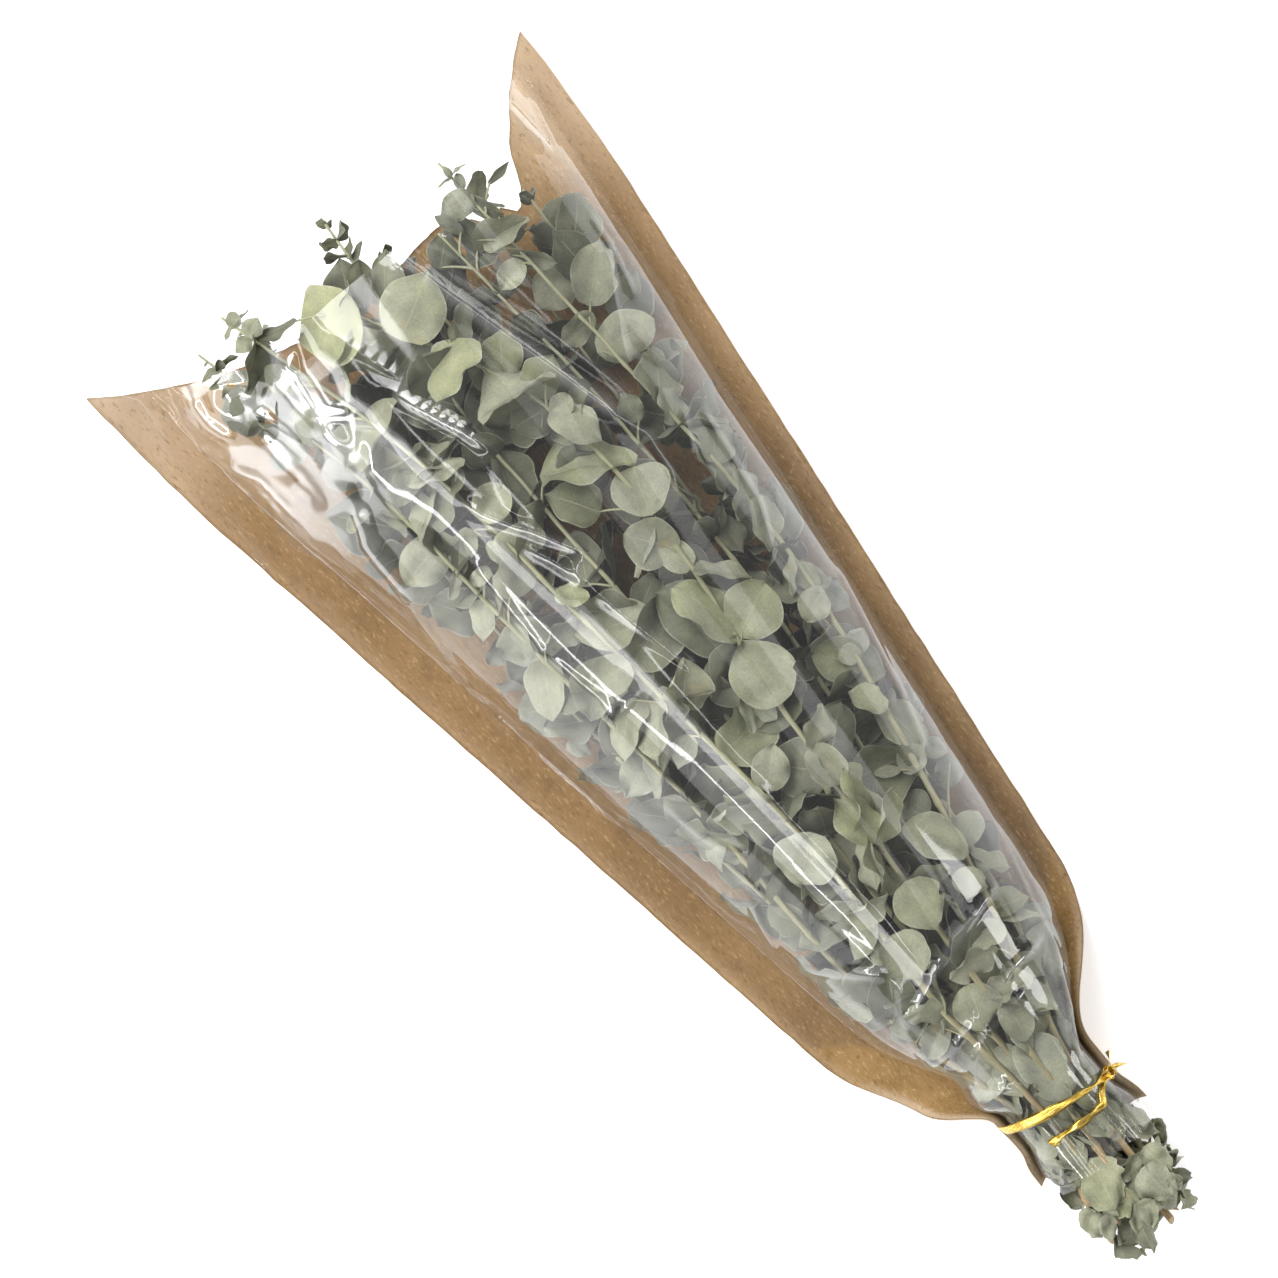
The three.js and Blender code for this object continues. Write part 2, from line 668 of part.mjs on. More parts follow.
// True if a blade stays inside the sleeve, or inside the round of the cut ends behind it.
function staysInside(pose) {
  const probes = [...OUTLINE.flatMap((l) => [[l, bladeHalf(l)], [l, -bladeHalf(l)]]), [0.5, 0], [1, 0]];
  return probes.every(([l, w]) => {
    const p = bladePoint(pose, l, w, 0, 0.5);
    if (p.x < FILM_TAIL_X - 2) return Math.hypot(p.y, p.z - NECK_RADIUS) < NECK_RADIUS - SLEEVE_CLEARANCE;
    const floor = paperHeight(p.x, p.y);
    const roof = filmHeight(p.x, p.y);
    if (floor === null || roof === null) return false;
    return p.z > floor + SLEEVE_CLEARANCE && p.z < roof - SLEEVE_CLEARANCE;
  });
}

// The shortest edge of a solid.
function shortestEdge(solid) {
  const { vertProperties, triVerts } = solid.getMesh();
  const corner = (i) => new THREE.Vector3().fromArray(vertProperties, 3 * triVerts[i]);
  let shortest = Infinity;
  for (let i = 0; i < triVerts.length; i += 1) {
    const next = i % 3 === 2 ? i - 2 : i + 1;
    shortest = Math.min(shortest, corner(i).distanceTo(corner(next)));
  }
  return shortest;
}

// Stands every leaf in the first pose that fits, and fuses it to its stem.
function growSprays(stems, sleeve) {
  const taken = sleeve.map((geometry) => ({ stem: null, node: null, solid: solidOf(geometry) }));
  taken.push(...stems.map((stem) => ({ stem, node: null, solid: solidOf(stemGeometry(stem)) })));
  for (const thing of taken) thing.box = thing.solid.boundingBox();
  const apart = (a, b) => [0, 1, 2].some((k) => a.min[k] > b.max[k] || b.min[k] > a.max[k]);
  // A blade's root may share space with its own stem and with its pair. The rest of it may not.
  const clashes = (trial, pastRoot, stem, node) => {
    const box = trial.boundingBox();
    return taken.some((other) => {
      if (apart(box, other.box)) return false;
      const own = other.stem === stem && (other.node === null || other.node === node);
      const common = (own ? pastRoot : trial).intersect(other.solid);
      const hit = !common.isEmpty();
      common.delete();
      return hit;
    });
  };
  const fits = (pose, stem, node) => {
    if (!staysInside(pose)) return false;
    const trial = solidOf(bladeGeometry(pose, BLADE_CLEARANCE));
    const pastRoot = solidOf(bladeGeometry(pose, ROOT_CLEARANCE, 1.5 * pose.waist));
    const free = !clashes(trial, pastRoot, stem, node);
    trial.delete();
    pastRoot.delete();
    return free;
  };
  const sprays = new Map(stems.map((stem) => [stem, solidOf(stemGeometry(stem))]));
  const wanted = stems.flatMap((stem) =>
    leafNodes(stem).flatMap((node) => [0, 1].map((side) => ({ stem, node, side }))),
  );
  wanted.sort((a, b) => a.stem.layer - b.stem.layer || b.node.x - a.node.x);
  for (const { stem, node, side } of wanted) {
    for (let attempt = 0; attempt < TRIES; attempt += 1) {
      const pose = leafPose(stem, node, side, attempt);
      if (!fits(pose, stem, node)) continue;
      const solid = solidOf(bladeGeometry(pose));
      const spray = sprays.get(stem).add(solid);
      if (shortestEdge(spray) < SHORTEST_EDGE) continue;
      sprays.set(stem, spray);
      taken.push({ stem, node, solid, box: solid.boundingBox() });
      break;
    }
  }
  return sprays;
}

// ---------------------------------------------------------------- the ribbon

// One tight turn of ribbon: a flat ring, stretched to the neck's height and sheared so that it slants.
function ribbonTurn() {
  const half = RIBBON_WIDTH / 2;
  const outer = RIBBON_HALF_WIDTH + RIBBON_THICKNESS;
  const section = [
    [RIBBON_HALF_WIDTH, -half],
    [outer, -half],
    [outer, half],
    [RIBBON_HALF_WIDTH, half],
    [RIBBON_HALF_WIDTH, -half],
  ].map(([r, y]) => new THREE.Vector2(r, y));
  const middle = (RIBBON_TOP + RIBBON_BOTTOM) / 2;
  const flatten = (RIBBON_TOP - RIBBON_BOTTOM) / 2 / outer;
  const ring = new THREE.LatheGeometry(section, 22);
  ring.rotateZ(-Math.PI / 2); // the ring's axis now runs along x
  ring.scale(1, 1, flatten);
  const slant = new THREE.Matrix4().makeShear(0, 0, RIBBON_TILT, 0, 0, 0);
  ring.applyMatrix4(slant.setPosition(RIBBON_X, 0, middle));
  return solidOf(ring);
}

// A free end of ribbon along a smooth line, lying flat on the neck.
function ribbonEnd(route) {
  const curve = new THREE.CatmullRomCurve3(route);
  const rings = steps(0, 1, 9).map((t) => {
    const centre = curve.getPoint(t);
    const tangent = curve.getTangent(t);
    const up = centre.clone().sub(new THREE.Vector3(centre.x, 0, LONG_END_ROUND.middle));
    up.addScaledVector(tangent, -tangent.dot(up)).normalize();
    const side = up.clone().cross(tangent);
    const corner = (a, b) =>
      centre
        .clone()
        .addScaledVector(side, (a * RIBBON_WIDTH) / 2)
        .addScaledVector(up, (b * RIBBON_THICKNESS) / 2);
    return [corner(-1, -1), corner(1, -1), corner(1, 1), corner(-1, 1)];
  });
  return solidOf(ringTube(rings));
}

function ribbonSolid() {
  const knot = new THREE.SphereGeometry(KNOT_RADIUS, 10, 6);
  knot.scale(1.2, 1, 0.8);
  knot.translate(...KNOT);
  const { halfWidth, halfHeight, middle } = LONG_END_ROUND;
  const longEnd = LONG_END_X.map((x, i) => {
    const angle = lerp(...LONG_END_TURN, i / (LONG_END_X.length - 1));
    return new THREE.Vector3(x, halfWidth * Math.sin(angle), middle + halfHeight * Math.cos(angle));
  });
  const shortEnd = SHORT_END.map((corner) => new THREE.Vector3(...corner));
  return joined([ribbonTurn(), solidOf(knot), ribbonEnd(longEnd), ribbonEnd(shortEnd)]);
}

// ---------------------------------------------------------------- assembly

const dry = (color) => new THREE.MeshStandardMaterial({ color, roughness: 0.85, metalness: 0 });
const leafMaterial = dry(LEAF_COLOUR);
const paperMaterial = dry(PAPER_COLOUR);
const filmMaterial = new THREE.MeshStandardMaterial({
  color: FILM_COLOUR,
  roughness: 0.08,
  transparent: true,
  opacity: 0.25,
});
const goldMaterial = new THREE.MeshStandardMaterial({ color: GOLD_COLOUR, roughness: 0.25, metalness: 1 });

const bunch = new THREE.Group();

function addMesh(name, geometry, material) {
  const mesh = new THREE.Mesh(geometry, material);
  mesh.name = name;
  bunch.add(mesh);
}

// Both sheets share these stations, so that they stay parallel where they curl.
const curledStations = [-4, 14, 21, 28, 36, 47, 59, 73, 96];
const flatShares = [0, 0.18, 0.38, 0.58, 0.76, 0.9, 1];

// A sheet from its tail to the mouth, over its share (-1 to 1) across.
function sheetOf(tail, point, across, thickness) {
  const rows = [tail, ...curledStations];
  const shoulder = rows.at(-1);
  const beyond = (row, t) => lerp(shoulder, mouthX(t), flatShares[row - rows.length + 1]);
  const at = (row, t) => point(row < rows.length ? rows[row] : beyond(row, t), t);
  const numbers = [...Array(rows.length + flatShares.length - 1).keys()];
  return sheetSolid(at, numbers, across, thickness);
}

function marginSheet(side) {
  const start = curledStations.at(-1);
  const shares = side > 0 ? [0, 1] : [1, 0];
  const end = (t) => mouthX(marginPoint(MOUTH_CORNER_X, side, t).y / paperHalfWidth(MOUTH_CORNER_X));
  const at = (s, t) => marginPoint(lerp(start, end(t), s), side, t);
  return sheetSolid(at, flatShares, shares, FILM_THICKNESS);
}

const columns = steps(-1, 1, 10);
const paperAt = (x, t) => paperPoint(x, t * paperHalfWidth(x));
const paperSheet = sheetOf(PAPER_TAIL_X, paperAt, columns, PAPER_THICKNESS);
const crownSheet = sheetOf(FILM_TAIL_X, crownPoint, columns, FILM_THICKNESS);
const filmSheet = geometryFrom(joined([crownSheet, marginSheet(1), marginSheet(-1)].map(solidOf)));
addMesh("paper_back", paperSheet, paperMaterial);
addMesh("film_front", filmSheet, filmMaterial);
addMesh("ribbon_tie", geometryFrom(ribbonSolid()), goldMaterial);

STEMS.forEach((stem, index) => {
  stem.index = index;
  stem.start = stem.path[0][0];
  stem.end = stem.path.at(-1)[0];
  stem.turn = draw(index, 2) * Math.PI;
  stem.knots = steps(stem.start, stem.end, STEM_SPANS).map(
    (x) => new THREE.Vector3(x, through(stem.path, x, 1), through(stem.path, x, 2)),
  );
});
growSprays(STEMS, [paperSheet, filmSheet]).forEach((spray, stem) => {
  addMesh(`spray_${String(stem.index + 1).padStart(2, "0")}`, geometryFrom(spray), leafMaterial);
});

// The origin goes to the centre of the footprint, on the surface that the paper lies on.
const extent = new THREE.Box3().setFromObject(bunch);
const middle = extent.getCenter(new THREE.Vector3());
bunch.position.set(-middle.x, -middle.y, -extent.min.z);

export default bunch;
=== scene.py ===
import itertools
import math

import bpy
import numpy as np
from mathutils import Matrix, Vector
from mathutils.kdtree import KDTree


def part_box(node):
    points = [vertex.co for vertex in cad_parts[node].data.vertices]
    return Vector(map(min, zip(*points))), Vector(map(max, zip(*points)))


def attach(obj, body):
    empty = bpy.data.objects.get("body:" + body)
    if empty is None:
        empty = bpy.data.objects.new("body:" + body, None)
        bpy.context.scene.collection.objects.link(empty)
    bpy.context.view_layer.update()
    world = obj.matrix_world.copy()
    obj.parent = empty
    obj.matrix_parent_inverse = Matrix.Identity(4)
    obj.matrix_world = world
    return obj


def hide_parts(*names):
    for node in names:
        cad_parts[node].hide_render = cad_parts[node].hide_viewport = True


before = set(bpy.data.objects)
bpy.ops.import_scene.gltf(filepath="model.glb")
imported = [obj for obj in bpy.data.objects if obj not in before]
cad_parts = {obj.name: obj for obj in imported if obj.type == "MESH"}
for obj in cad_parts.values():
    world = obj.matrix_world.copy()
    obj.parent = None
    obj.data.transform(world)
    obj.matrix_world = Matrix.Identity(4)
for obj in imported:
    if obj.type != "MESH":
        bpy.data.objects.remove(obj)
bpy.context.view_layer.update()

# A bunch of dried eucalyptus in its kraft and film sleeve, seen from straight above.
#
# Shapes are worked out in millimetres in the tie's own frame, as the solids are: x runs from the
# ribbon (0) to the mouth of the sleeve, y across it and z up. place() takes them to the row frame.

# ---------------------------------------------------------------- sizes shared with the solids

# part.mjs says what each of these is.
SEED = 20
MOUTH_CORNER_X = 580
MOUTH_DIP = 51
MOUTH_BOW = 6
MOUTH_BOW_LENGTH = 100
PAPER_TAIL_X = -24
PAPER_THICKNESS = 0.8
SHOULDER_X = 88
SHOULDER_HALF_WIDTH = 79
EDGE_SPREAD = 0.14
NECK_WRAP = 46
NECK_RADIUS = 29
NECK_LIFT = 1.7
NECK_END = 14
LEFT_GATHER = 42
RIGHT_GATHER = 72
TAIL_FLARE = 0.2
FILM_GAP = 0.35
FILM_THICKNESS = 0.6
CURLED_EXTRA_GAP = 1.9
FILM_TAIL_X = -33
FILM_EDGE_INSET = 1.5
NECK_MARGIN = 1
LEFT_MARGIN = 24
RIGHT_MARGIN = 14
LEFT_SLOPE = 1.5
LEANS_FROM = 50
LEANS_TO = 180
CROWN = [  # x, and the film's height
    [-60, 53], [0, 55.6], [50, 67], [105, 78], [170, 86],
    [260, 91], [360, 92], [450, 88], [580, 76],
]
BUTT_RADIUS = 2.4
TIP_RADIUS = 0.9
STEM_TAPER = 1.3
STEM_SPANS = 14
STEM_REACH = 4
STEMS = [  # layer, length of the tip, and the path as [x, y, z]
    (0, 22, [[-70, 6, 39], [0, -2, 46], [90, -8, 60], [250, -22, 68], [345, -34, 69], [435, -27, 66],
             [536, 22, 60]]),
    (0, 60, [[-62, 16, 36], [0, 9, 43], [80, 15, 57], [180, 12, 66], [330, 24, 69], [450, 36, 66],
             [560, 63, 58]]),
    (0, 70, [[-74, -8, 36], [0, -13, 41], [90, -34, 50], [190, -56, 52], [300, -74, 48],
             [430, -71, 52], [550, -66, 50]]),
    (0, 60, [[-68, 25, 28], [0, 18, 31], [95, 38, 37], [225, 42, 49], [345, 53, 54], [455, 62, 50],
             [556, 84, 40]]),
    (1, 55, [[-60, 5, 31], [0, 4, 34], [130, 3, 45], [300, 2, 50], [440, 4, 50], [566, -5, 54]]),
    (1, 30, [[-79, -4, 27], [0, -5, 30], [120, -24, 40], [250, -46, 42], [400, -52, 42],
             [524, -44, 46]]),
    (1, 40, [[-64, -16, 26], [0, -19, 27], [100, -44, 31], [250, -64, 31], [400, -84, 30],
             [515, -90, 34]]),
    (1, 40, [[-72, 17, 19], [0, 16, 20], [120, 38, 26], [250, 54, 28], [390, 62, 27],
             [512, 64, 28]]),
    (2, 30, [[-66, 8, 14], [0, 7, 14], [150, 22, 19], [300, 28, 22], [510, 38, 25]]),
    (2, 40, [[-76, -6, 14], [0, -6, 15], [150, -10, 21], [300, -14, 25], [430, -20, 28],
             [536, -18, 34]]),
    (2, 30, [[-70, -16, 16], [0, -15, 18], [150, -38, 18], [300, -52, 17], [500, -66, 18]]),
]
LEAF_SPACING = [27, 30, 35]
TIP_SPACING = 10
BUTT_CROWDING = 0.6
SMALLEST_LEAF = 6
# shares of the way along a stem, and the leaves' length there
LEAF_LENGTH = [[0, 28], [0.15, 33], [0.35, 37], [0.7, 39], [0.92, 38], [1, 32]]
LEAST_PRESSED = [0.62, 0.4, 0.3]
ROOT_DEPTH = 0.3
TRIES = 100

# The first channels of the draws that only the visual model makes
PHOTO_DRAWS = 700
SIGN_DRAWS = 720
BUTT_DRAWS = 740
BLADE_DRAWS = 900
TONE_DRAW = 908
# A leaf's key is its stem, its node and its side, 0 or 1, or one of these for a leaf that has no node
PICTURED = 7
IN_BUTT = 8

# ---------------------------------------------------------------- helpers

MM = 0.001
origin_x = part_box("paper_back")[1].x / MM - MOUTH_CORNER_X


def place(points):
    """Points in the tie's frame, in millimetres, as points of the row frame, in metres."""
    return (np.asarray(points, float) + (origin_x, 0, 0)) * MM


def lerp(a, b, t):
    return a + (b - a) * t


def smooth(value, low, high):
    t = np.clip((value - low) / (high - low), 0, 1)
    return t * t * (3 - 2 * t)


def draw(*keys):
    """A repeatable number from 0 to 1 for whole-number keys, as the solids draw theirs."""
    h = np.uint32(SEED)
    with np.errstate(over="ignore"):
        for key in keys:
            h = (h ^ (np.asarray(key, np.int64) + 0x3C6EF372).astype(np.uint32)) * np.uint32(0x85EBCA6B)
            h = h ^ (h >> np.uint32(13))
            h = h * np.uint32(0xC2B2AE35)
            h = h ^ (h >> np.uint32(16))
    return h / 4294967296


def through(rows, x, column=1):
    """The smooth curve through rows of [x, value, ...], read at x."""
    rows = np.asarray(rows, float)
    last = len(rows) - 1
    i = np.clip(np.searchsorted(rows[:, 0], x, side="left") - 1, 0, last - 1)

    def slope(k):
        a, b = np.maximum(k - 1, 0), np.minimum(k + 1, last)
        return (rows[b, column] - rows[a, column]) / (rows[b, 0] - rows[a, 0])

    width = rows[i + 1, 0] - rows[i, 0]
    t = np.clip((x - rows[i, 0]) / width, 0, 1)
    t2, t3 = t * t, t * t * t
    return (
        (2 * t3 - 3 * t2 + 1) * rows[i, column]
        + (t3 - 2 * t2 + t) * width * slope(i)
        + (3 * t2 - 2 * t3) * rows[i + 1, column]
        + (t3 - t2) * width * slope(i + 1)
    )


def unit(v):
    v = np.asarray(v, float)
    return v / np.maximum(np.linalg.norm(v, axis=-1, keepdims=True), 1e-12)


def noise(x, y, key):
    """Smooth noise from -1 to 1, with about one lump for each unit."""
    xi, yi = np.floor(x).astype(int), np.floor(y).astype(int)
    u, v = smooth(x - xi, 0, 1), smooth(y - yi, 0, 1)

    def corner(a, b):
        return 2 * draw(xi + a, yi + b, key) - 1

    low = lerp(corner(0, 0), corner(1, 0), u)
    high = lerp(corner(0, 1), corner(1, 1), u)
    return lerp(low, high, v)


def facets(x, y, key, warp=0.45):
    """Crumpled noise from -1 to 1: flat facets that meet in sharp creases, about one for each unit."""
    x = x + warp * noise(x * 0.8, y * 0.8, key + 50)
    y = y + warp * noise(x * 0.8 + 9, y * 0.8, key + 51)
    xi, yi = np.floor(x).astype(int), np.floor(y).astype(int)
    u, v = x - xi, y - yi
    flip = draw(xi, yi, key + 52) < 0.5

    def corner(a, b):
        return 2 * draw(xi + a, yi + b, key) - 1

    c00, c10, c01, c11 = corner(0, 0), corner(1, 0), corner(0, 1), corner(1, 1)
    one = np.where(u > v, c00 + u * (c10 - c00) + v * (c11 - c10), c00 + v * (c01 - c00) + u * (c11 - c01))
    other = np.where(
        u + v < 1,
        c00 + u * (c10 - c00) + v * (c01 - c00),
        c11 + (1 - u) * (c01 - c11) + (1 - v) * (c10 - c11),
    )
    return np.where(flip, one, other)


# ---------------------------------------------------------------- the sleeve's surfaces


def curl(x, side):
    """How far the paper is curled up on a side: 1 round the neck, and 0 where it lies flat."""
    opening = smooth(x, NECK_END, np.where(side > 0, LEFT_GATHER, RIGHT_GATHER))
    return 1 - np.maximum(opening, TAIL_FLARE * smooth(-x, 4, -PAPER_TAIL_X))


def paper_half_width(x):
    flat = SHOULDER_HALF_WIDTH + EDGE_SPREAD * (x - SHOULDER_X)
    bow = MOUTH_BOW * np.clip((x - MOUTH_CORNER_X) / MOUTH_BOW_LENGTH + 1, 0, 1) ** 2
    return lerp(NECK_WRAP, flat - bow, smooth(x, 0, SHOULDER_X))


def paper_point(x, u):
    """The paper's underside at x, at the distance u from its middle line along the sheet."""
    bend = np.maximum(curl(x, np.sign(u + 1e-9)), 1e-6) / NECK_RADIUS
    lift = NECK_LIFT * curl(x, -1)
    return np.stack([x + 0 * u, np.sin(u * bend) / bend, lift + (1 - np.cos(u * bend)) / bend], -1)


def mouth_x(t):
    """Where the sheets end at the mouth, at the share t of their half-width."""
    return MOUTH_CORNER_X - MOUTH_DIP * (1 - t * t)


def fold_at(x, side):
    """How far out along the paper the film's crown meets its margin."""
    margin = lerp(np.where(side > 0, LEFT_MARGIN, RIGHT_MARGIN), NECK_MARGIN, curl(x, side))
    return paper_half_width(x) - margin


def film_foot(x, side):
    """How far out the foot of the film's crown is, and how high."""
    u = side * fold_at(x, side)
    reach = 0.01
    across = unit(paper_point(x, u + reach) - paper_point(x, u - reach))
    off = PAPER_THICKNESS + FILM_GAP + CURLED_EXTRA_GAP * smooth(curl(x, side), 0, 0.1)
    foot = paper_point(x, u)
    return np.abs(foot[..., 1] - across[..., 2] * off), foot[..., 2] + across[..., 1] * off


def crown_slope(x, side):
    return np.where(side > 0, lerp(1, LEFT_SLOPE, smooth(x, LEANS_FROM, LEANS_TO)), 1)


def crown_point(x, v):
    """The film's crown at x, with v from -1 to 1 across it."""
    side = np.where(v < 0, -1, 1)
    reach, height = film_foot(x, side)
    angle = v * math.pi / 2
    rise = np.maximum(np.cos(angle), 0) ** crown_slope(x, side)
    return np.stack([x + 0 * v, reach * np.sin(angle), height + (through(CROWN, x) - height) * rise], -1)


def film_height(x, y):
    """Height of the film's underside over the table, and -1 outside its crown."""
    side = np.where(y < 0, -1, 1)
    reach, height = film_foot(x, side)
    share = np.abs(y) / reach
    rise = np.maximum(1 - share * share, 0) ** (crown_slope(x, side) / 2)
    return np.where(share < 1, height + (through(CROWN, x) - height) * rise, -1)


def paper_height(x, y):
    """Height of the paper's upper face, and 1000 outside its trough."""
    side = np.where(y < 0, -1, 1)
    bend = curl(x, side) / NECK_RADIUS
    turn = np.abs(y) * bend
    flat = bend < 1e-6
    rise = np.where(flat, 0, (1 - np.sqrt(np.maximum(1 - turn**2, 0))) / np.where(flat, 1, bend))
    return np.where(turn < 0.999, NECK_LIFT * curl(x, -1) + rise + PAPER_THICKNESS, 1000)


# ---------------------------------------------------------------- meshes and materials


def mesh_object(name, points, faces, material, attributes=None):
    """An object from points in the tie's frame and faces as rows of three or four corners."""
    mesh = bpy.data.meshes.new(name)
    points = place(points).reshape(-1, 3)
    faces = np.asarray(faces, np.int32)
    corners = faces.shape[1]
    mesh.vertices.add(len(points))
    mesh.vertices.foreach_set("co", points.astype(np.float32).ravel())
    mesh.loops.add(faces.size)
    mesh.loops.foreach_set("vertex_index", faces.ravel())
    mesh.polygons.add(len(faces))
    mesh.polygons.foreach_set("loop_start", np.arange(0, faces.size, corners, dtype=np.int32))
    mesh.polygons.foreach_set("use_smooth", np.ones(len(faces), bool))
    mesh.update(calc_edges=True)
    for key, values in (attributes or {}).items():
        attribute = mesh.attributes.new(key, "FLOAT_COLOR", "POINT")
        attribute.data.foreach_set("color", np.asarray(values, np.float32).ravel())
    mesh.materials.append(material)
    obj = bpy.data.objects.new(name, mesh)
    bpy.context.scene.collection.objects.link(obj)
    return obj


def dress(piece, node):
    """Puts a piece in the place of a node's solid."""
    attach(piece, "root")
    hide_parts(node)


def grid_normals(points):
    """The unit normals of a grid of points."""
    return unit(np.cross(np.gradient(points, axis=0), np.gradient(points, axis=1)))


def as_colour(values):
    """One grey colour for each value, as a colour attribute holds them."""
    return np.repeat(values.reshape(-1, 1), 4, 1)


def circles(across, up, angle):
    """For each row of across and up, the unit circle that they span, at the angles."""
    return np.cos(angle)[:, None] * across[:, None] + np.sin(angle)[:, None] * up[:, None]


def grid_faces(rows, columns, start=0, closed=False, flip=False):
    """The quads of a grid of points. closed joins its last column to its first."""
    i, j = np.meshgrid(np.arange(rows - 1), np.arange(columns if closed else columns - 1), indexing="ij")
    k = (j + 1) % columns
    quads = np.stack([i * columns + j, i * columns + k, (i + 1) * columns + k, (i + 1) * columns + j], -1)
    quads = quads.reshape(-1, 4) + start
    return quads[:, ::-1] if flip else quads


def shell_faces(rows, columns):
    """Closes a sheet: its lower grid comes first and its upper grid after it."""
    count = rows * columns
    lower = grid_faces(rows, columns)
    upper = grid_faces(rows, columns, start=count, flip=True)
    along = np.arange(rows - 1) * columns
    across = np.arange(columns - 1)
    end = (rows - 1) * columns
    rims = [
        np.stack([along, along + columns, along + columns + count, along + count], -1),
        np.stack([end + across, end + across + 1, end + across + 1 + count, end + across + count], -1),
        np.stack([along + columns, along, along + count, along + columns + count], -1) + columns - 1,
        np.stack([across + 1, across, across + count, across + 1 + count], -1),
    ]
    return np.concatenate([lower[:, ::-1], upper[:, ::-1], *rims])


class Shader:
    """A node material under construction."""

    def __init__(self, name):
        self.material = bpy.data.materials.new(name)
        self.material.use_nodes = True
        self.tree = self.material.node_tree
        self.tree.nodes.clear()

    def node(self, kind, inputs=None, **settings):
        made = self.tree.nodes.new("ShaderNode" + kind)
        for key, value in settings.items():
            setattr(made, key, value)
        for key, value in (inputs or {}).items():
            socket = made.inputs[key]
            if isinstance(value, bpy.types.NodeSocket):
                self.tree.links.new(value, socket)
            else:
                socket.default_value = value
        return made

    def math(self, operation, a, b=0.0, c=0.0, clamp=False):
        return self.node("Math", {0: a, 1: b, 2: c}, operation=operation, use_clamp=clamp).outputs[0]

    def mix(self, factor, a, b, blend="MIX"):
        made = self.node("Mix", {0: factor, 6: a, 7: b}, data_type="RGBA", blend_type=blend)
        return made.outputs[2]

    def shade(self, colour, factor, blue=None):
        """A colour times a grey factor, or with its own factor for blue."""
        grey = self.node("CombineColor", {0: factor, 1: factor, 2: factor if blue is None else blue})
        return self.mix(1, colour, grey.outputs[0], "MULTIPLY")

    def attribute(self, name):
        """The channels of one of the mesh's colour attributes."""
        colour = self.node("Attribute", attribute_name=name).outputs["Color"]
        return self.node("SeparateColor", {0: colour}).outputs

    def range(self, value, low, high, to_low=0.0, to_high=1.0):
        made = self.node(
            "MapRange", {0: value, 1: low, 2: high, 3: to_low, 4: to_high}, interpolation_type="SMOOTHSTEP"
        )
        return made.outputs[0]

    def ramp(self, value, stops):
        made = self.node("ValToRGB", {0: value})
        elements = made.color_ramp.elements
        while len(elements) < len(stops):
            elements.new(0.5)
        for element, (position, colour) in zip(elements, stops):
            element.position = position
            element.color = (*colour, 1)
        return made.outputs[0]

    def noise(self, scale, detail=3.0, stretch=(1, 1, 1), rough=0.5):
        coordinates = self.node("TexCoord").outputs["Object"]
        mapped = self.node("Mapping", {"Vector": coordinates, "Scale": stretch}).outputs[0]
        inputs = {"Vector": mapped, "Scale": scale, "Detail": detail, "Roughness": rough}
        return self.node("TexNoise", inputs).outputs["Fac"]

    def bump(self, height, strength, distance):
        return self.node("Bump", {"Strength": strength, "Distance": distance, "Height": height}).outputs[0]

    def principled(self, colour, rough, bump, more):
        inputs = {"Base Color": colour, "Roughness": rough, "Normal": bump, **more}
        return self.node("BsdfPrincipled", inputs).outputs[0]

    def finish(self, surface):
        self.node("OutputMaterial", {"Surface": surface})
        return self.material


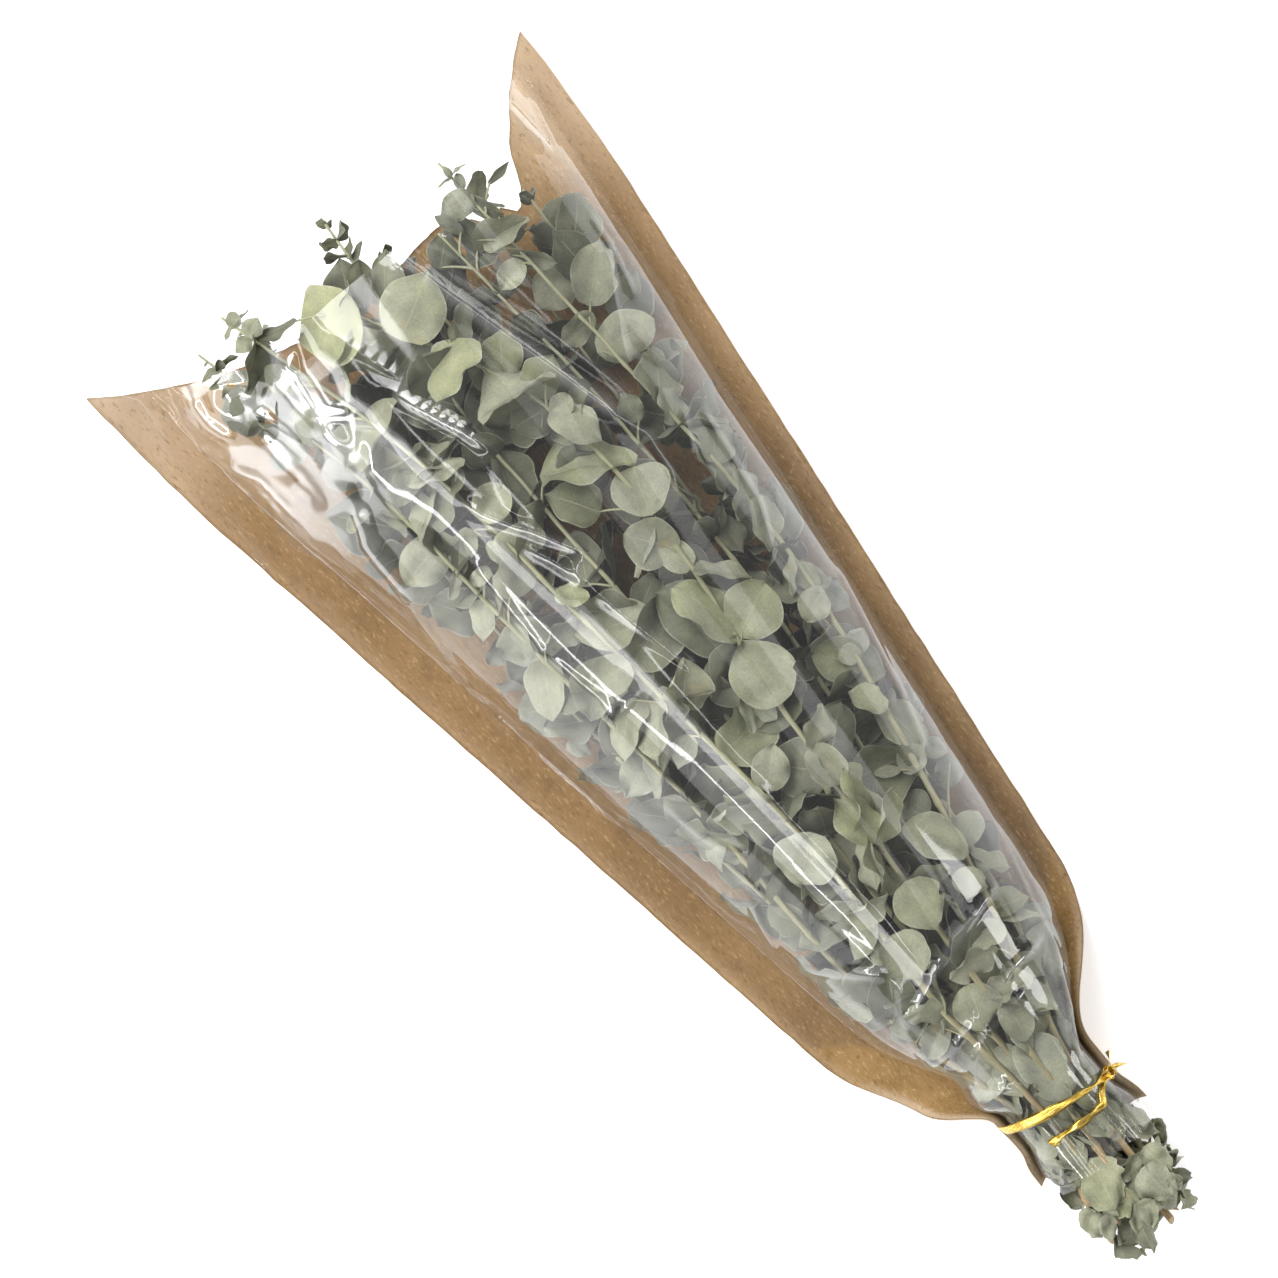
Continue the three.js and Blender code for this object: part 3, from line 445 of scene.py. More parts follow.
def leaf_material():
    s = Shader("eucalyptus_leaf")
    blade = s.attribute("blade")
    mood = s.attribute("mood")
    along, across = blade[0], blade[1]
    off_midrib = s.math("ABSOLUTE", s.math("SUBTRACT", across, 0.5))
    tone = s.ramp(mood[0], [
        (0.0, (0.045, 0.048, 0.031)), (0.25, (0.111, 0.115, 0.076)), (0.5, (0.208, 0.213, 0.146)),
        (0.75, (0.304, 0.307, 0.219)), (1.0, (0.427, 0.422, 0.326)),
    ])
    yellow = s.mix(1, tone, (1.03, 1.05, 0.80, 1), "MULTIPLY")
    bluish = s.mix(1, tone, (0.97, 1.0, 1.13, 1), "MULTIPLY")
    tone = s.mix(s.range(mood[1], 0.45, 1.0, 0, 0.9), tone, yellow)
    tone = s.mix(s.range(mood[1], 0.0, 0.2, 0.7, 0), tone, bluish)
    blotch = s.range(s.noise(75, 5, rough=0.62), 0.33, 0.68, 0.82, 1.13)
    powder = s.range(s.noise(900, 3), 0.3, 0.7, 0.90, 1.09)
    tone = s.shade(tone, blotch, blue=s.math("POWER", blotch, 0.8))
    tone = s.shade(tone, powder)
    slant = s.math("SUBTRACT", along, s.math("MULTIPLY", off_midrib, 0.55))
    comb = s.math("ABSOLUTE", s.math("SUBTRACT", s.math("FRACT", s.math("MULTIPLY", slant, 11)), 0.5))
    vein = s.math("MULTIPLY", s.range(comb, 0.0, 0.1, 1, 0), s.range(off_midrib, 0.0, 0.42, 1, 0))
    tone = s.mix(s.math("MULTIPLY", vein, 0.09), tone, (0.42, 0.43, 0.31, 1))
    # painted highlight: a paler band along the blade's edge, as lit edges look
    painted_rim = s.math("MULTIPLY", s.range(off_midrib, 0.465, 0.495), s.range(along, 0.04, 0.2))
    tone = s.mix(s.math("MULTIPLY", painted_rim, 0.38), tone, (0.46, 0.46, 0.37, 1))
    midrib = s.math("MULTIPLY", s.range(off_midrib, 0.006, 0.022, 1, 0), s.range(along, 0.55, 0.95, 1, 0.2))
    tone = s.mix(s.math("MULTIPLY", midrib, 0.3), tone, (0.42, 0.41, 0.28, 1))
    brown = s.math("MULTIPLY", s.range(s.noise(110, 3), 0.60, 0.74), s.range(mood[2], 0.55, 1.0, 0, 0.55))
    tone = s.mix(brown, tone, (0.30, 0.235, 0.125, 1))
    height = s.math("ADD", s.math("MULTIPLY", vein, -0.5), s.math("MULTIPLY", s.noise(420, 4), 0.8))
    height = s.math("SUBTRACT", height, s.math("MULTIPLY", midrib, 0.8))
    bump = s.bump(height, 0.35, 0.0003)
    rough = s.range(s.noise(90, 2), 0.3, 0.7, 0.5, 0.72)
    return s.finish(s.principled(tone, rough, bump, {"Specular IOR Level": 0.35}))


def stem_material():
    s = Shader("eucalyptus_stem")
    mood = s.attribute("mood")
    along = s.math("ADD", mood[0], s.range(s.noise(40, 3), 0.3, 0.7, -0.12, 0.12))
    tone = s.ramp(along, [
        (0.0, (0.36, 0.25, 0.13)), (0.14, (0.31, 0.27, 0.15)), (0.5, (0.31, 0.30, 0.18)),
        (1.0, (0.31, 0.31, 0.20)),
    ])
    streak = s.range(s.noise(300, 3, (0.25, 3, 3)), 0.3, 0.7, 0.8, 1.12)
    tone = s.mix(mood[1], s.shade(tone, streak), (0.52, 0.39, 0.22, 1))
    bump = s.bump(s.noise(300, 4, (0.25, 3, 3)), 0.5, 0.0004)
    return s.finish(s.principled(tone, 0.55, bump, {"Specular IOR Level": 0.4}))


def kraft_material():
    s = Shader("kraft_paper")
    tone = s.ramp(s.noise(9, 5, rough=0.6), [
        (0.3, (0.195, 0.110, 0.037)), (0.5, (0.255, 0.150, 0.054)), (0.72, (0.325, 0.203, 0.086)),
    ])
    blotch = s.noise(55, 5, (0.7, 1.3, 1), 0.7)
    tone = s.mix(s.range(blotch, 0.52, 0.30, 0, 0.45), tone, (0.135, 0.073, 0.024, 1))
    tone = s.mix(s.range(blotch, 0.55, 0.75, 0, 0.4), tone, (0.40, 0.265, 0.125, 1))
    fibre = s.noise(520, 5, (0.5, 1.4, 1), 0.65)
    # painted light: the paper is made paler where the mesh marks it, standing for the film's glare at the
    # mouth's corners and for light on the flaps and neck edges that lie in shade
    painted_light = s.attribute("painted_light")[0]
    painted_light_share = s.math("MULTIPLY", painted_light, s.range(s.noise(30, 4, (0.5, 1.5, 1)), 0.25, 0.75, 0.6, 1.1), clamp=True)
    tone = s.mix(painted_light_share, tone, (0.50, 0.385, 0.27, 1))
    tone = s.mix(s.range(fibre, 0.54, 0.72, 0, 0.7), tone, (0.50, 0.35, 0.18, 1))
    tone = s.mix(s.range(fibre, 0.46, 0.28, 0, 0.75), tone, (0.15, 0.072, 0.02, 1))
    flecks = s.noise(1700, 2, (0.5, 1, 1))
    tone = s.mix(s.range(flecks, 0.64, 0.78, 0, 0.3), tone, (0.52, 0.38, 0.22, 1))
    tone = s.mix(s.range(flecks, 0.35, 0.24, 0, 0.4), tone, (0.16, 0.085, 0.035, 1))
    height = s.math("ADD", fibre, s.math("MULTIPLY", s.noise(2200, 3), 0.5))
    return s.finish(s.principled(tone, 0.78, s.bump(height, 0.3, 0.0003), {"Specular IOR Level": 0.25}))


def film_material():
    """Clear film: glossy where it is seen aslant or scuffed, with a painted sheen that whitens its creases
    and crumpled corner. Its shadow is lighter than it is.
    """
    s = Shader("clear_film")
    fresnel = s.node("Fresnel", {"IOR": 1.5}).outputs[0]
    scuff = s.range(s.noise(26, 5, (0.4, 1.6, 1), 0.65), 0.5, 0.8, 0, 0.03)
    # painted sheen: the mesh's marks make the film more of a white gloss, and rougher, along its creases and
    # at the crumpled corner
    painted_sheen = s.attribute("painted_sheen")[0]
    share = s.math("ADD", s.math("MULTIPLY", fresnel, 1.35), s.math("ADD", scuff, painted_sheen), clamp=True)
    shadow = s.node("LightPath").outputs["Is Shadow Ray"]
    share = s.math("MULTIPLY", share, s.math("SUBTRACT", 1.0, s.math("MULTIPLY", shadow, 0.8)))
    bump = s.bump(s.noise(90, 2, (0.3, 1.6, 1)), 0.06, 0.0004)
    clear = s.node("BsdfTransparent", {"Color": (0.985, 0.988, 0.985, 1)}).outputs[0]
    rough = s.range(painted_sheen, 0.0, 0.3, 0.06, 0.2)
    gloss = s.principled((0.95, 0.95, 0.96, 1), rough, bump, {"Metallic": 0.85})
    return s.finish(s.node("MixShader", {0: share, 1: clear, 2: gloss}).outputs[0])


def gold_material():
    s = Shader("gold_ribbon")
    streak = s.noise(500, 3, (3, 0.4, 1))
    tone = s.ramp(streak, [
        (0.3, (0.40, 0.24, 0.03)), (0.55, (0.72, 0.49, 0.10)), (0.75, (0.95, 0.77, 0.32)),
    ])
    return s.finish(s.principled(tone, 0.27, s.bump(streak, 0.4, 0.0004), {"Metallic": 1.0}))


def floor_material():
    s = Shader("studio_floor")
    tone = s.ramp(s.noise(3, 2), [(0.3, (0.90, 0.90, 0.90)), (0.7, (0.925, 0.925, 0.925))])
    return s.finish(s.node("BsdfPrincipled", {
        "Base Color": tone, "Roughness": 0.9, "Specular IOR Level": 0.1,
        "Emission Color": (1, 1, 1, 1), "Emission Strength": 0.36,
    }).outputs[0])


# ---------------------------------------------------------------- camera, light and floor

CAMERA_HEIGHT = 2.0  # metres
CAMERA_OVER = (310, 10, 0)
PHOTO_SPAN = 0.639  # metres across the photograph, at the table
SENSOR = 36
PHOTO_RIGHT = Vector((-0.649, -0.761, 0)).normalized()
PHOTO_UP = Vector((0, 0, 1)).cross(PHOTO_RIGHT)

camera_data = bpy.data.cameras.new("camera")
camera_data.sensor_width = SENSOR
camera_data.lens = SENSOR * CAMERA_HEIGHT / PHOTO_SPAN
camera = bpy.data.objects.new("camera", camera_data)
bpy.context.scene.collection.objects.link(camera)
bpy.context.scene.camera = camera
centre = Vector(place(CAMERA_OVER))
turn = Matrix((PHOTO_RIGHT, PHOTO_UP, Vector((0, 0, 1)))).transposed().to_4x4()
camera.matrix_world = Matrix.Translation(centre + Vector((0, 0, CAMERA_HEIGHT))) @ turn

# Each softbox: metres right, up and above in the photograph, its two sides, and its power in watts.
# The long ones stand beside the bunch and in line with it, so that creases in the film catch them.
SOFTBOXES = {
    "key": (-1.15, 0.9, 1.7, 1.5, 1.5, 60),
    "veil": (-1.22, -1.04, 1.0, 1.3, 1.3, 12),
    "strip_left_low": (-1.52, -1.30, 0.8, 2.0, 0.10, 10),
    "strip_left": (-1.00, -0.85, 1.3, 2.0, 0.24, 9),
    "strip_left_high": (-0.62, -0.53, 1.6, 1.8, 0.05, 2.2),
    "strip_right_high": (0.60, 0.51, 1.7, 1.8, 0.30, 1.8),
    "strip_right": (1.10, 0.94, 1.3, 2.0, 0.34, 4),
    "fill_right": (1.9, 0.3, 0.8, 0.6, 0.6, 9),
}
WORLD_STRENGTH = 0.42
for name, (right, up, above, wide, tall, power) in SOFTBOXES.items():
    light = bpy.data.lights.new(name, "AREA")
    light.shape = "RECTANGLE"
    light.size = wide
    light.size_y = tall
    light.energy = power
    lamp = bpy.data.objects.new(name, light)
    bpy.context.scene.collection.objects.link(lamp)
    lamp.location = centre + right * PHOTO_RIGHT + up * PHOTO_UP + Vector((0, 0, above))
    lamp.rotation_mode = "QUATERNION"
    lamp.rotation_quaternion = (centre - lamp.location).to_track_quat("-Z", "Y")

world = bpy.data.worlds.new("studio")
bpy.context.scene.world = world
world.use_nodes = True
background = world.node_tree.nodes["Background"].inputs
background["Color"].default_value = (1, 1, 1, 1)
background["Strength"].default_value = WORLD_STRENGTH
bpy.context.scene.view_settings.view_transform = "Standard"

PHOTO_SIDE = 1278  # pixels


def photo_point(right, down, z):
    """The point at height z, in the tie's frame, that the photograph shows at a pixel."""
    reach = PHOTO_SPAN / MM / PHOTO_SIDE * (1 - z * MM / CAMERA_HEIGHT)
    across, along = (right - PHOTO_SIDE / 2) * reach, (PHOTO_SIDE / 2 - down) * reach
    flat = np.array(CAMERA_OVER) + across * np.array(PHOTO_RIGHT) + along * np.array(PHOTO_UP)
    return np.array([flat[0], flat[1], z])


FLOOR_HALF = 3000
FLOOR_Z = -0.05  # just under the paper
corners = [(-1, -1), (1, -1), (1, 1), (-1, 1)]
floor = mesh_object("studio_floor", [(FLOOR_HALF * a, FLOOR_HALF * b, FLOOR_Z) for a, b in corners],
                    [(0, 1, 2, 3)], floor_material())

# ---------------------------------------------------------------- paper back

PAPER_ROWS = 230
PAPER_COLUMNS = 96
SHEET_THICKNESS = 0.45  # the real paper's, and the solid is thicker
SCOOP_DEPTH = 30  # the paper's mouth is torn back beside the leaves on its right
SCOOP_AT = -0.60
SCOOP_REACH = 0.17
FLANGE = 2.6  # how far the paper's edges turn outward where they wrap the neck
MOUTH_CURL = 26  # the paper's last stretch before its mouth, which lifts a little


def paper_lift(x, u):
    """How far the paper stands off its flat shape, most along its free edges and at the mouth."""
    half = paper_half_width(x)
    share = np.clip(np.abs(u) / half, 0, 1.2)
    side = np.sign(u + 1e-9)
    edge = smooth(share, 0.72, 1.02)
    wave = 0.5 + 0.5 * noise(x / 62, side * 3.1, 71)
    along_edge = edge * smooth(x, 60, 130) * (0.6 + 2.6 * wave)
    corner = smooth(x, 515, 585) * smooth(share, 0.62, 1.0)
    rolled = corner**1.6 * np.where(side > 0, 10.0, 6.0)
    end = mouth_x(share)
    mouth = smooth(x, end - MOUTH_CURL, end) * (1 - edge) * 1.2 * (1 + noise(u / 19, x * 0, 72))
    return along_edge + rolled + mouth


def paper_base(x, u):
    point = paper_point(x, u)
    point[..., 2] += paper_lift(x, u)
    return point


def build_paper(material):
    s, t = np.meshgrid(np.linspace(0, 1, PAPER_ROWS), np.linspace(-1, 1, PAPER_COLUMNS), indexing="ij")
    ragged = 0.35 * noise(t * 60, t * 0, 5)
    scoop = np.exp(-(((t - SCOOP_AT) / SCOOP_REACH) ** 2))
    scoop = SCOOP_DEPTH * scoop * (1 + 0.25 * noise(t * 18, t * 0, 16))
    x = lerp(PAPER_TAIL_X + 1.2 * noise(t * 5, t * 0, 6), mouth_x(t) - 0.6 + ragged - scoop, s)
    half = paper_half_width(x) - 0.3 + 0.3 * noise(x / 9, np.sign(t) * 4, 7)
    u = t * half
    lower = paper_base(x, u)
    normal = grid_normals(lower)
    flange = smooth(np.abs(t), 0.86, 1.0) * (1 - smooth(x, 15, 50)) * smooth(x, -24, -10)
    width = FLANGE * (1 + 0.3 * noise(x / 14, np.sign(t) * 5, 17))
    lower[..., 1] += np.sign(t) * width * flange
    lower[..., 2] -= 0.8 * width * flange**2
    gathered = smooth(curl(x, np.sign(t)), 0.25, 0.9) * smooth(np.abs(t), 0.25, 0.8)
    crumple = gathered * 0.5 * facets(x / 13, u / 5, 31)
    lower = lower + normal * (0.12 + np.maximum(crumple, -0.1))[..., None]
    upper = lower + normal * SHEET_THICKNESS
    points = np.concatenate([lower.reshape(-1, 3), upper.reshape(-1, 3)])
    share = np.abs(t)
    # painted light: paler at the mouth's corners for the film's glare, and on the tail flaps and the edges
    # turned out round the neck, which face away from the key light
    corner = smooth(x, 470, 575) * smooth(share, 0.45, 0.95)
    flap = 1 - smooth(x, -6, 30)
    turned_out = smooth(share, 0.9, 0.96) * (1 - smooth(x, 40, 75))
    painted_light = np.clip(0.9 * corner + 0.75 * flap + 0.25 * smooth(share, 0.9, 1) + 0.7 * turned_out, 0, 1)
    painted_light = {"painted_light": np.concatenate([as_colour(painted_light)] * 2)}
    paper = mesh_object("paper_sheet", points, shell_faces(PAPER_ROWS, PAPER_COLUMNS), material, painted_light)
    dress(paper, "paper_back")


# ---------------------------------------------------------------- film front

FILM_ROWS = 620
FILM_COLUMNS = 230
FILM_FOLD = 0.88  # share of the film's columns at which its crown meets its margins
MARGIN_OPENS = (66, 104)  # the stretch over which the margins grow to their full width

CALM_AT = -42  # the film is nearly smooth along this line, right of its middle
CALM_REACH = 24

# The film's main creases, read off the photograph: the pixels along each (right, down), its
# height in millimetres, and how far it reaches on its two sides.
FILM_CREASES = [
    ([(386, 250), (500, 335), (620, 420)], 3.0, 9.0, 4.0),
    ([(420, 250), (560, 340), (640, 400)], 1.4, 2.5, 5.0),
    ([(435, 224), (560, 330)], 1.2, 3.0, 2.0),
    ([(500, 95), (555, 155)], 1.2, 3.0, 2.0),
    ([(608, 240), (628, 370)], 1.1, 2.5, 3.5),
    ([(265, 360), (290, 370), (350, 460)], 1.8, 6.0, 3.0),
    ([(230, 400), (310, 455)], 1.8, 5.0, 3.0),
    ([(290, 330), (290, 370), (240, 430)], 1.5, 4.0, 5.0),
    ([(305, 415), (355, 415)], 1.4, 3.5, 2.5),
    ([(380, 380), (420, 405), (465, 430), (490, 450)], 1.4, 2.5, 3.5),
    ([(330, 330), (420, 390)], 1.2, 3.0, 2.0),
    ([(395, 395), (500, 450)], 1.2, 2.0, 3.0),
    ([(350, 500), (365, 545), (415, 605)], 3.0, 8.0, 4.0),
    ([(460, 500), (485, 515), (585, 550), (585, 575)], 1.5, 3.0, 4.0),
    ([(520, 545), (580, 578), (575, 552)], 1.2, 3.5, 2.5),
    ([(595, 590), (705, 675)], 1.3, 3.0, 4.5),
    ([(640, 425), (672, 470), (678, 492)], 1.4, 3.0, 2.0),
    ([(683, 400), (692, 450), (675, 460)], 1.0, 2.0, 2.0),
    ([(590, 400), (660, 440)], 1.2, 2.0, 4.0),
    ([(500, 700), (540, 650), (470, 560)], 1.2, 3.0, 4.0),
    ([(540, 650), (600, 700), (612, 722), (640, 690)], 1.0, 3.0, 3.0),
    ([(520, 740), (522, 700)], 1.3, 2.5, 2.5),
    ([(530, 745), (590, 800), (640, 835)], 1.5, 4.0, 3.0),
    ([(410, 610), (470, 690), (520, 750)], 1.2, 3.0, 3.0),
    ([(660, 800), (700, 835), (745, 860)], 1.0, 3.0, 2.5),
    ([(730, 865), (770, 905)], 1.3, 3.0, 3.0),
    ([(795, 968), (890, 975)], 1.8, 4.0, 4.0),
    ([(745, 890), (780, 960)], 1.2, 3.0, 3.0),
    ([(1000, 880), (950, 940), (905, 1030)], 1.7, 3.5, 3.5),
    ([(1045, 930), (1010, 970), (920, 1070)], 1.7, 3.5, 3.0),
    ([(985, 900), (935, 975)], 1.2, 2.0, 3.0),
    ([(1030, 985), (990, 1030), (955, 1080)], 1.2, 2.5, 3.0),
    ([(1050, 930), (1070, 1010), (1080, 1070)], 1.2, 3.0, 3.0),
    ([(970, 1090), (1030, 1085)], 1.2, 2.0, 2.5),
    ([(900, 975), (905, 1030), (925, 1060)], 1.1, 3.0, 3.0),
    ([(760, 545), (830, 640)], 1.1, 3.0, 2.5),
    ([(700, 400), (760, 500), (775, 560)], 1.2, 2.5, 3.5),
    ([(835, 560), (900, 690), (930, 760)], 1.0, 3.0, 3.0),
    # on the paper's margins
    ([(90, 402), (115, 395), (140, 402), (170, 458), (200, 480)], 1.5, 3.0, 2.5),
    ([(200, 480), (225, 500), (255, 545), (281, 589)], 1.1, 2.2, 1.6),
    ([(206, 484), (262, 560), (281, 589)], 0.9, 1.5, 2.0),
    ([(282, 590), (310, 601), (362, 606)], 1.1, 2.0, 2.6),
    ([(284, 592), (345, 637)], 1.1, 2.0, 2.0),
    ([(186, 388), (210, 425), (236, 449)], 1.8, 4.0, 3.0),
    ([(198, 450), (262, 480), (300, 520)], 1.5, 3.5, 3.0),
    ([(395, 700), (440, 735), (520, 790)], 1.0, 2.0, 2.0),
    ([(415, 690), (520, 775)], 0.9, 1.6, 2.0),
    ([(497, 100), (525, 130), (553, 156)], 2.8, 6.0, 4.0),
    ([(530, 90), (545, 120), (560, 150)], 1.2, 2.2, 2.0),
    ([(514, 62), (535, 84), (541, 110)], 1.0, 2.0, 2.0),
    ([(585, 205), (612, 245), (640, 300)], 1.1, 2.0, 2.5),
    ([(622, 205), (627, 214)], 1.0, 1.6, 1.6),
    ([(655, 275), (682, 312)], 1.0, 1.6, 1.8),
    ([(748, 405), (765, 420)], 1.0, 1.4, 1.4),
]
CREASE_TAPER = 9  # a crease fades out over this much at its ends


def on_film(right, down):
    """Where the film's crown shows at a pixel, seen from above."""
    z = 80.0
    for _ in range(6):
        spot = photo_point(right, down, z)
        z = max(float(film_height(spot[0], spot[1])), 2.0)
    return spot[:2]


def photo_creases(x, y):
    """The creases of FILM_CREASES, as heights at points of the film."""
    total = np.zeros_like(x)
    for pixels, height, reach_left, reach_right in FILM_CREASES:
        line = [on_film(*pixel) for pixel in pixels]
        lengths = [math.dist(a, b) for a, b in zip(line, line[1:])]
        whole, before = sum(lengths), 0.0
        ridge = np.zeros_like(x)
        for a, b, length in zip(line, line[1:], lengths):
            ahead = (b - a) / length
            run = (x - a[0]) * ahead[0] + (y - a[1]) * ahead[1]
            off = (y - a[1]) * ahead[0] - (x - a[0]) * ahead[1]
            past = run - np.clip(run, 0, length)
            away = np.hypot(off, past) / np.where(off > 0, reach_left, reach_right)
            gone = before + np.clip(run, 0, length)
            taper = np.clip(np.minimum(gone, whole - gone) / CREASE_TAPER, 0.12, 1)
            ridge = np.maximum(ridge, height * taper * np.maximum(1 - away, 0))
            before += length
        total = total + ridge
    return total


def at_crumpled_corner(x, y):
    """1 at the left of the mouth, where the film is crumpled most, and 0 away from it."""
    return smooth(x, 415, 480) * smooth(y, 30, 62)


def film_relief(x, y, v):
    """How far the film stands off its smooth crown: creases that run with the stems, and crumples."""
    fan = y / (0.35 + 0.65 * smooth(x, -20, 330))
    top = 1 - 0.4 * smooth(1 - np.abs(v), 0.3, 0.9) * smooth(x, 150, 250)
    long_folds = lerp(0.9, 2.1, smooth(x, 230, 400)) * facets(x / 190, fan / 20, 11, 0.08)
    medium = 0.3 * facets(x / 95 + fan / 80, fan / 10 - x / 130, 12, 0.08)
    crumpled = smooth(noise(x / 70, fan / 40, 13), 0.25, 0.8)
    small = (0.05 + 0.4 * crumpled) * facets(x / 30, fan / 13, 14, 0.2)
    corner = 3.6 * facets(x / 27, y / 21, 18, 0.1) + 1.9 * facets(x / 12, y / 11, 19, 0.05)
    gather = smooth(-x, -190, -70)
    neck = 0.55 * facets(x / 170, fan / 9, 15, 0.05) + 0.22 * facets(x / 34 + fan / 20, fan / 8, 20, 0.1)
    calm = np.exp(-(((y - CALM_AT) / CALM_REACH) ** 2)) * (1 - smooth(x, 390, 450)) * 0.8
    folds = top * (long_folds + medium + small) * (1 - 0.8 * gather) * (1 - calm)
    return folds + gather * neck + at_crumpled_corner(x, y) * corner


def softened(values, axis):
    """Values averaged with their two neighbours along an axis of the grid."""
    values = np.moveaxis(values, axis, 0)
    inner = 0.25 * values[:-2] + 0.5 * values[1:-1] + 0.25 * values[2:]
    return np.moveaxis(np.concatenate([values[:1], inner, values[-1:]]), 0, axis)


def build_film(material):
    s, c = np.meshgrid(np.linspace(0, 1, FILM_ROWS), np.linspace(-1, 1, FILM_COLUMNS), indexing="ij")
    side = np.where(c < 0, -1, 1)
    v = np.clip(c / FILM_FOLD, -1, 1)
    x = lerp(FILM_TAIL_X + 2.5 * noise(c * 6, c * 0, 8), mouth_x(v) + 0.8 * noise(c * 14, c * 0, 9), s)
    crown = crown_point(x, v)
    share = np.clip((np.abs(c) - FILM_FOLD) / (1 - FILM_FOLD), 0, 1)
    fold = fold_at(x, side)
    opened = smooth(x, *MARGIN_OPENS)
    width = np.maximum(paper_half_width(x) - FILM_EDGE_INSET - fold, 0) * opened
    margin = paper_base(x, side * (fold + share * width))
    margin[..., 2] += PAPER_THICKNESS + FILM_GAP
    points = np.where((share > 0)[..., None], lerp(crown, margin, opened[..., None]), crown)
    foot_lift = paper_lift(x, side * fold) * smooth(np.abs(v), 0.8, 1.0)
    points[..., 2] += np.where(share > 0, 0, foot_lift) + 0.5 * FILM_THICKNESS
    normal = grid_normals(points)
    y = points[..., 1].copy()
    relief = film_relief(x, y, v)
    hold = np.where(share > 0, 0.12, 1) * (1 - 0.75 * smooth(np.abs(v), 0.93, 1.0))
    creases = photo_creases(x, y)
    height = relief * hold + creases * np.where(share > 0, 0.75 * smooth(1 - share, 0, 0.1), 1)
    for axis in (0, 1, 1):
        height = softened(height, axis)
    # painted sheen along the creases and over patches of the crumpled corner at the mouth, whitening them as
    # highlights do
    at_mouth = at_crumpled_corner(x, y) * smooth(-y, -116, -100)
    patches = smooth(facets(x / 13, y / 10, 21, 0.05), 0.0, 0.15)
    painted_sheen = np.clip(0.07 * np.clip(creases - 0.4, 0, 3) + at_mouth * (0.04 + 0.22 * patches), 0, 0.4)
    points = points + normal * height[..., None]
    faces = grid_faces(FILM_ROWS, FILM_COLUMNS, flip=True)
    film = mesh_object("film_sheet", points, faces, material, {"painted_sheen": as_colour(painted_sheen)})
    dress(film, "film_front")


# ---------------------------------------------------------------- stems


class Stem:
    """One stem of the solids: its line, thickness and leaf nodes, worked out as part.mjs does."""

    def __init__(self, index):
        self.index = index
        self.layer, self.tip, path = STEMS[index]
        self.path = np.array(path, float)
        self.start, self.end = self.path[0, 0], self.path[-1, 0]
        self.turn = float(draw(index, 2)) * math.pi
        xs = self.start + (self.end - self.start) * np.arange(STEM_SPANS + 1) / STEM_SPANS
        self.knots = np.stack([xs, through(path, xs, 1), through(path, xs, 2)], -1)

    def point(self, x):
        step = (self.end - self.start) / STEM_SPANS
        span = int(np.clip(math.floor((x - self.start) / step), 0, STEM_SPANS - 1))
        return lerp(self.knots[span], self.knots[span + 1], (x - self.start) / step - span)

    def tangent(self, x):
        return unit(self.point(x + STEM_REACH) - self.point(x - STEM_REACH))

    def sides(self, x):
        tangent = self.tangent(x)
        across = unit(np.array([-tangent[1], tangent[0], 0]))
        return across, np.cross(tangent, across)

    def radius(self, x):
        share = np.clip((x - self.start) / (self.end - self.start), 0, 1)
        return lerp(BUTT_RADIUS, TIP_RADIUS, share**STEM_TAPER)

    def leaf_nodes(self):
        nodes = []
        x = self.start + lerp(6, 16, draw(self.index, 1))
        while x < self.end - 2:
            index = len(nodes)
            left = self.end - x
            share = (x - self.start) / (self.end - self.start)
            tip = smooth(left, 0, self.tip)
            size = lerp(SMALLEST_LEAF, through(LEAF_LENGTH, share), tip)
            turn = self.turn + (index % 2) * math.pi / 2 + lerp(-0.2, 0.2, draw(self.index, index, 4))
            nodes.append((index, float(x), float(turn), float(size)))
            crowding = lerp(BUTT_CROWDING, 1, smooth(x, FILM_TAIL_X, 0))
            spacing = lerp(TIP_SPACING, LEAF_SPACING[self.layer], tip)
            x += crowding * spacing * lerp(0.85, 1.2, draw(self.index, index, 3))
        return nodes


TWIG_SIDES = 6
STEM_SIDES = 10


def twig_tube(stem, path):
    """Rings and faces of a thin twig along the points of its path, closed at its far end."""
    rows = len(path)
    tangent = unit(np.gradient(path, axis=0))
    across = unit(np.cross(tangent, (0.31, 0.17, 1.0)))
    up = np.cross(across, tangent)
    angle = np.arange(TWIG_SIDES) * 2 * math.pi / TWIG_SIDES
    radius = np.linspace(0.85, 0.5, rows)
    radius[-1] = 0.05
    points = path[:, None] + circles(across, up, angle) * radius[:, None, None]
    return points.reshape(-1, 3), grid_faces(rows, TWIG_SIDES, closed=True)


